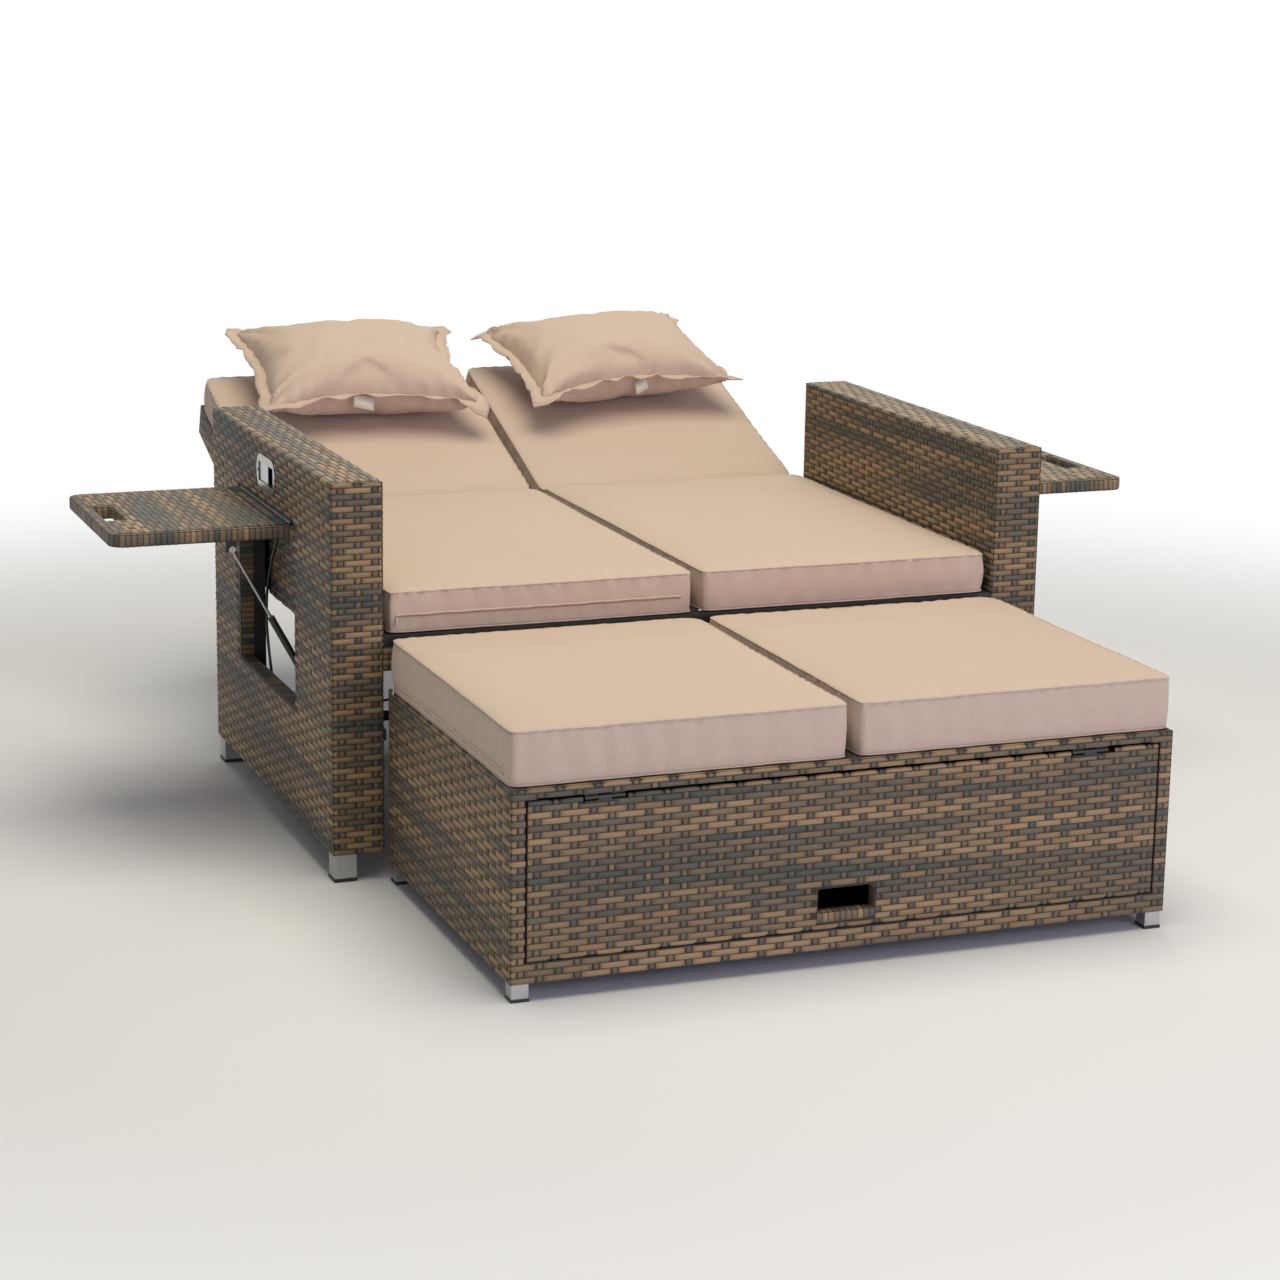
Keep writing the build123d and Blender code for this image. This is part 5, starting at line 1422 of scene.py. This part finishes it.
    def brim(self, seam, half, flange, sign, pillow):
        """The flange: it leaves the seam, waves a little and curls into ears at the corners."""
        seed, ears, half_thick = pillow["seed"], pillow["ears"], 0.0011
        label_x, spread, stretch = 0.012, 0.8, 0.45
        stand, lie, wave_depth, ripple_depth = 0.42, 0.1, 0.0046, 0.004
        count, steps = len(seam), 4
        strip, faces = [], []
        for k, place in enumerate(seam):
            tangent = (seam[(k + 1) % count] - seam[k - 1]).normalized()
            out = Vector((tangent.y, -tangent.x, 0)).normalized()
            corner = min((abs(place.x) / half.x) ** 12 * (abs(place.y) / half.y) ** 12, 1.0)
            quarter = (1 if place.x > 0 else -1, 1 if place.y > 0 else -1)
            out = (out + Vector((*quarter, 0)) * corner * spread).normalized()
            lower = max(-out.y, 0.0) * (1 - corner)
            reach = flange * (1 + stretch * corner)
            tilt = stand * lower - lie * (1 - lower)
            wave = wave_depth * math.sin(k * 0.78 + 2.4 * smooth_noise(place, 14.0, seed)) \
                + ripple_depth * smooth_noise(place, 30.0, seed + 5)
            for row in range(steps + 1):
                share = row / steps
                spot = place + out * reach * share
                spot.z += tilt * reach * share + (wave + ears[quarter] * corner) * share ** 1.4
                strip += [spot + Vector((0, 0, lift)) for lift in (-half_thick, half_thick)]
        per = (steps + 1) * 2
        for k in range(count):
            a, b = k * per, (k + 1) % count * per
            for row in range(steps):
                low, high = row * 2, row * 2 + 2
                faces.append((a + low + 1, a + high + 1, b + high + 1, b + low + 1))
                faces.append((a + low, b + low, b + high, a + high))
            last = steps * 2
            faces += [(a + last, b + last, b + last + 1, a + last + 1), (a, a + 1, b + 1, b)]
        brim = bpy.data.meshes.new("flange")
        brim.from_pydata(strip, [], faces)
        outward(brim)
        rings = [[strip[k * per + row * 2 + 1] for k in range(count)] for row in (0, 3)]
        middle = min(range(count),
                     key=lambda k: abs(seam[k].x - label_x * sign) + (seam[k].y > 0))
        return brim, rings, strip[middle * per + 4]

    def label(self, hang, wide, lean):
        """A blank label that hangs from the flange, a little askew and bent."""
        tall, thin, start = 0.024, 0.0004, 0.004
        lean = math.radians(lean)
        along_x = Vector((math.cos(lean), 0, math.sin(lean)))
        down = Vector((0.25 * math.sin(lean), -0.5, -0.85)).normalized()
        face = along_x.cross(down).normalized()
        points, faces, cells = [], [], 6
        for i in range(cells + 1):
            share = i / cells
            bend = 0.0025 * math.sin(math.pi * share)
            for drop in (start, start + tall):
                for side in (-thin, thin):
                    points.append(hang + along_x * (share - 0.5) * wide + down * drop
                                  + face * (side + bend))
        for i in range(cells):
            a, b = i * 4, i * 4 + 4
            faces += [(a, b, b + 2, a + 2), (a + 1, a + 3, b + 3, b + 1),
                      (a, a + 1, b + 1, b), (a + 2, b + 2, b + 3, a + 3)]
        last = cells * 4
        faces += [(0, 2, 3, 1), (last, last + 1, last + 3, last + 2)]
        label = bpy.data.meshes.new("label")
        label.from_pydata(points, [], faces)
        outward(label)
        return label


def outward(mesh):
    """Turn a closed mesh's faces outwards and shade it smooth."""
    shape = bmesh.new()
    shape.from_mesh(mesh)
    bmesh.ops.recalc_face_normals(shape, faces=shape.faces)
    shape.to_mesh(mesh)
    shape.free()
    mesh.polygons.foreach_set("use_smooth", [True] * len(mesh.polygons))


# ---------------------------------------------------------------- finishes and stage


class LOUNGER_OT_metalwork(bpy.types.Operator):
    """Finish the frames, feet, hinges, struts, springs and release handles"""

    bl_idname = "lounger.metalwork"
    bl_label = "Metalwork"

    def execute(self, context):
        colours = context.scene.lounger_metal
        finishes = {
            # Powder coat: satin black with a fine peel of about 1.5 mm.
            "black_coated_steel": coated_material("Black powder-coated steel", colours.coat, 0.42,
                                                  0.0015),
            # Brushed along the sleeve, lines drawn at 0.8 mm.
            "brushed_aluminium_feet": metal_material("Brushed aluminium", colours.foot, 0.34,
                                                     (1200.0, 1200.0, 30.0)),
            "black_glides": coated_material("Moulded black nylon", colours.nylon, 0.5, 0.0008),
            "chromed_handle": metal_material("Chromed die casting", colours.chrome, 0.16,
                                             (60.0, 60.0, 60.0)),
            "bright_steel": metal_material("Ground bright steel", colours.steel, 0.22,
                                           (900.0, 900.0, 60.0)),
            "black_rubber": coated_material("Moulded black rubber", colours.nylon, 0.68, 0.0006),
            "cable_sheath": coated_material("Black cable sheath", colours.nylon, 0.36, 0.002),
            "black_floor_panel": coated_material("Black grained panel", "#242423", 0.6, 0.0012)}
        slots = {part["node"]: part["material_slot"] for part in frame["record"]["subparts"]}
        for node in frame["nodes"]:
            finish = finishes.get(slots.get(node))
            if finish is not None:
                finish_node(node, finish)
        cup = cup_material(colours.chrome, colours.nylon)
        for side, _ in SIDES:
            finish_node("release_cup_" + side, cup)
        return {"FINISHED"}


def seen_directly(tree):
    """1 for the rays that show the white surround: camera, glossy and transmission rays."""
    rays = add(tree, "ShaderNodeLightPath").outputs
    seen = add(tree, MATH, (rays["Is Camera Ray"], rays["Is Glossy Ray"]), operation="MAXIMUM")
    return add(tree, MATH, (seen, rays["Is Transmission Ray"]), operation="MAXIMUM")


class LOUNGER_OT_stage(bpy.types.Operator):
    """Set the camera, the pale floor and the studio light"""

    bl_idname = "lounger.stage"
    bl_label = "Stage"

    def execute(self, context):
        scene = context.scene
        settings = scene.lounger_stage
        scene.view_settings.view_transform = "Standard"
        heading, tilt, roll = settings.heading, settings.tilt, settings.roll
        ahead = Vector((math.sin(heading) * math.cos(tilt), math.cos(heading) * math.cos(tilt),
                        -math.sin(tilt)))
        level = Vector((math.cos(heading), -math.sin(heading), 0))
        upright = level.cross(ahead)
        right = level * math.cos(roll) + upright * math.sin(roll)
        up = upright * math.cos(roll) - level * math.sin(roll)
        camera = bpy.data.objects.new("Camera", bpy.data.cameras.new("Camera"))
        camera.data.lens = settings.lens
        camera.data.sensor_width = 36.0
        camera.data.clip_end = 60.0
        turn = Matrix((right, up, -ahead)).transposed().to_4x4()
        camera.matrix_world = Matrix.Translation(CAMERA_PLACE) @ turn
        scene.collection.objects.link(camera)
        scene.camera = camera
        self.floor(scene, settings)
        self.lights(scene)
        return {"FINISHED"}

    def floor(self, scene, settings):
        """A wide pale floor, white far from the object as the paper is."""
        shape = bmesh.new()
        bmesh.ops.create_circle(shape, cap_ends=True, segments=96, radius=14.0)
        mesh = bpy.data.meshes.new("studio_floor")
        shape.to_mesh(mesh)
        shape.free()
        floor = bpy.data.objects.new("studio_floor", mesh)
        scene.collection.objects.link(floor)
        material, tree = new_material("Pale studio paper")
        place = add(tree, "ShaderNodeTexCoord").outputs["Object"]
        far = add(tree, VECTOR, (place,), operation="LENGTH").outputs["Value"]
        fade = add(tree, "ShaderNodeMapRange", {"Value": far, "From Min": 1.5, "From Max": 3.2},
                   interpolation_type="SMOOTHSTEP")
        grain = add(tree, "ShaderNodeTexNoise", {"Vector": place, "Scale": 300.0})
        bump = add(tree, "ShaderNodeBump", {"Strength": 0.05, "Distance": 0.0002, "Height": grain})
        paper = add(tree, "ShaderNodeBsdfDiffuse", {"Color": linear(settings.floor),
                                                    "Normal": bump})
        white = add(tree, "ShaderNodeEmission", {"Color": (1.0, 1.0, 1.0, 1.0), "Strength": 1.0})
        share = add(tree, MATH, (seen_directly(tree), fade), operation="MULTIPLY")
        finish_material(material, tree, add(tree, "ShaderNodeMixShader", (share, paper, white)))
        mesh.materials.append(material)

    def lights(self, scene):
        """A white surround, a warm light from above, a cooler fill and a weak one from behind."""
        world = bpy.data.worlds.new("Studio")
        scene.world = world
        world.use_nodes = True
        tree = world.node_tree
        tree.nodes.clear()
        soft, white = (add(tree, "ShaderNodeBackground", {"Color": colour, "Strength": strength})
                       for colour, strength in (((1.0, 0.94, 0.87, 1.0), 0.27),
                                                ((1.0, 1.0, 1.0, 1.0), 1.0)))
        mixed = add(tree, "ShaderNodeMixShader", (seen_directly(tree), soft, white))
        add(tree, "ShaderNodeOutputWorld", {"Surface": mixed})
        for name, place, size, power, colour in (
                ("Key", (0.1, -0.7, 3.9), 3.0, 116, (1.0, 0.93, 0.70)),
                ("Fill", (1.4, -5.2, 1.3), 3.0, 84, (0.93, 0.84, 1.0)),
                ("Rear", (1.4, 3.4, 2.4), 2.5, 24, (1.0, 0.97, 0.92))):
            lamp = bpy.data.lights.new(name, "AREA")
            lamp.size = size
            lamp.energy = power
            lamp.color = colour
            obj = bpy.data.objects.new(name, lamp)
            turn = (Vector(LAMP_AIM) - Vector(place)).to_track_quat("-Z", "Y").to_matrix()
            obj.matrix_world = Matrix.Translation(place) @ turn.to_4x4()
            scene.collection.objects.link(obj)


# ---------------------------------------------------------------- panel and registration


OPERATORS = (LOUNGER_OT_metalwork, LOUNGER_OT_arms, LOUNGER_OT_seat_front, LOUNGER_OT_tables,
             LOUNGER_OT_backs, LOUNGER_OT_ottoman, LOUNGER_OT_cushions, LOUNGER_OT_pillows,
             LOUNGER_OT_stage)


class LOUNGER_PT_pieces(bpy.types.Panel):
    """Lists the lounger's pieces and their settings"""

    bl_idname = "LOUNGER_PT_pieces"
    bl_label = "Double chaise lounger"
    bl_space_type = "VIEW_3D"
    bl_region_type = "UI"
    bl_category = "Lounger"

    def draw(self, context):
        for operator in OPERATORS:
            self.layout.operator(operator.bl_idname)
        scene = context.scene
        for group in (scene.lounger_weave, scene.lounger_cushion, scene.lounger_metal,
                      scene.lounger_stage):
            box = self.layout.box()
            for name in group.bl_rna.properties.keys():
                if name not in ("rna_type", "name"):
                    box.prop(group, name)


GROUPS = (("lounger_weave", WeaveSettings), ("lounger_cushion", CushionSettings),
          ("lounger_metal", MetalSettings), ("lounger_stage", StageSettings))


def register():
    for name, group in GROUPS:
        bpy.utils.register_class(group)
        setattr(bpy.types.Scene, name, PointerProperty(type=group))
    for operator in OPERATORS:
        bpy.utils.register_class(operator)
    bpy.utils.register_class(LOUNGER_PT_pieces)


def unregister():
    bpy.utils.unregister_class(LOUNGER_PT_pieces)
    for operator in reversed(OPERATORS):
        bpy.utils.unregister_class(operator)
    for name, group in reversed(GROUPS):
        delattr(bpy.types.Scene, name)
        bpy.utils.unregister_class(group)


def main():
    """Make every piece in order."""
    register()
    for operator in OPERATORS:
        group, name = operator.bl_idname.split(".")
        getattr(getattr(bpy.ops, group), name)()


if __name__ == "__main__":
    main()
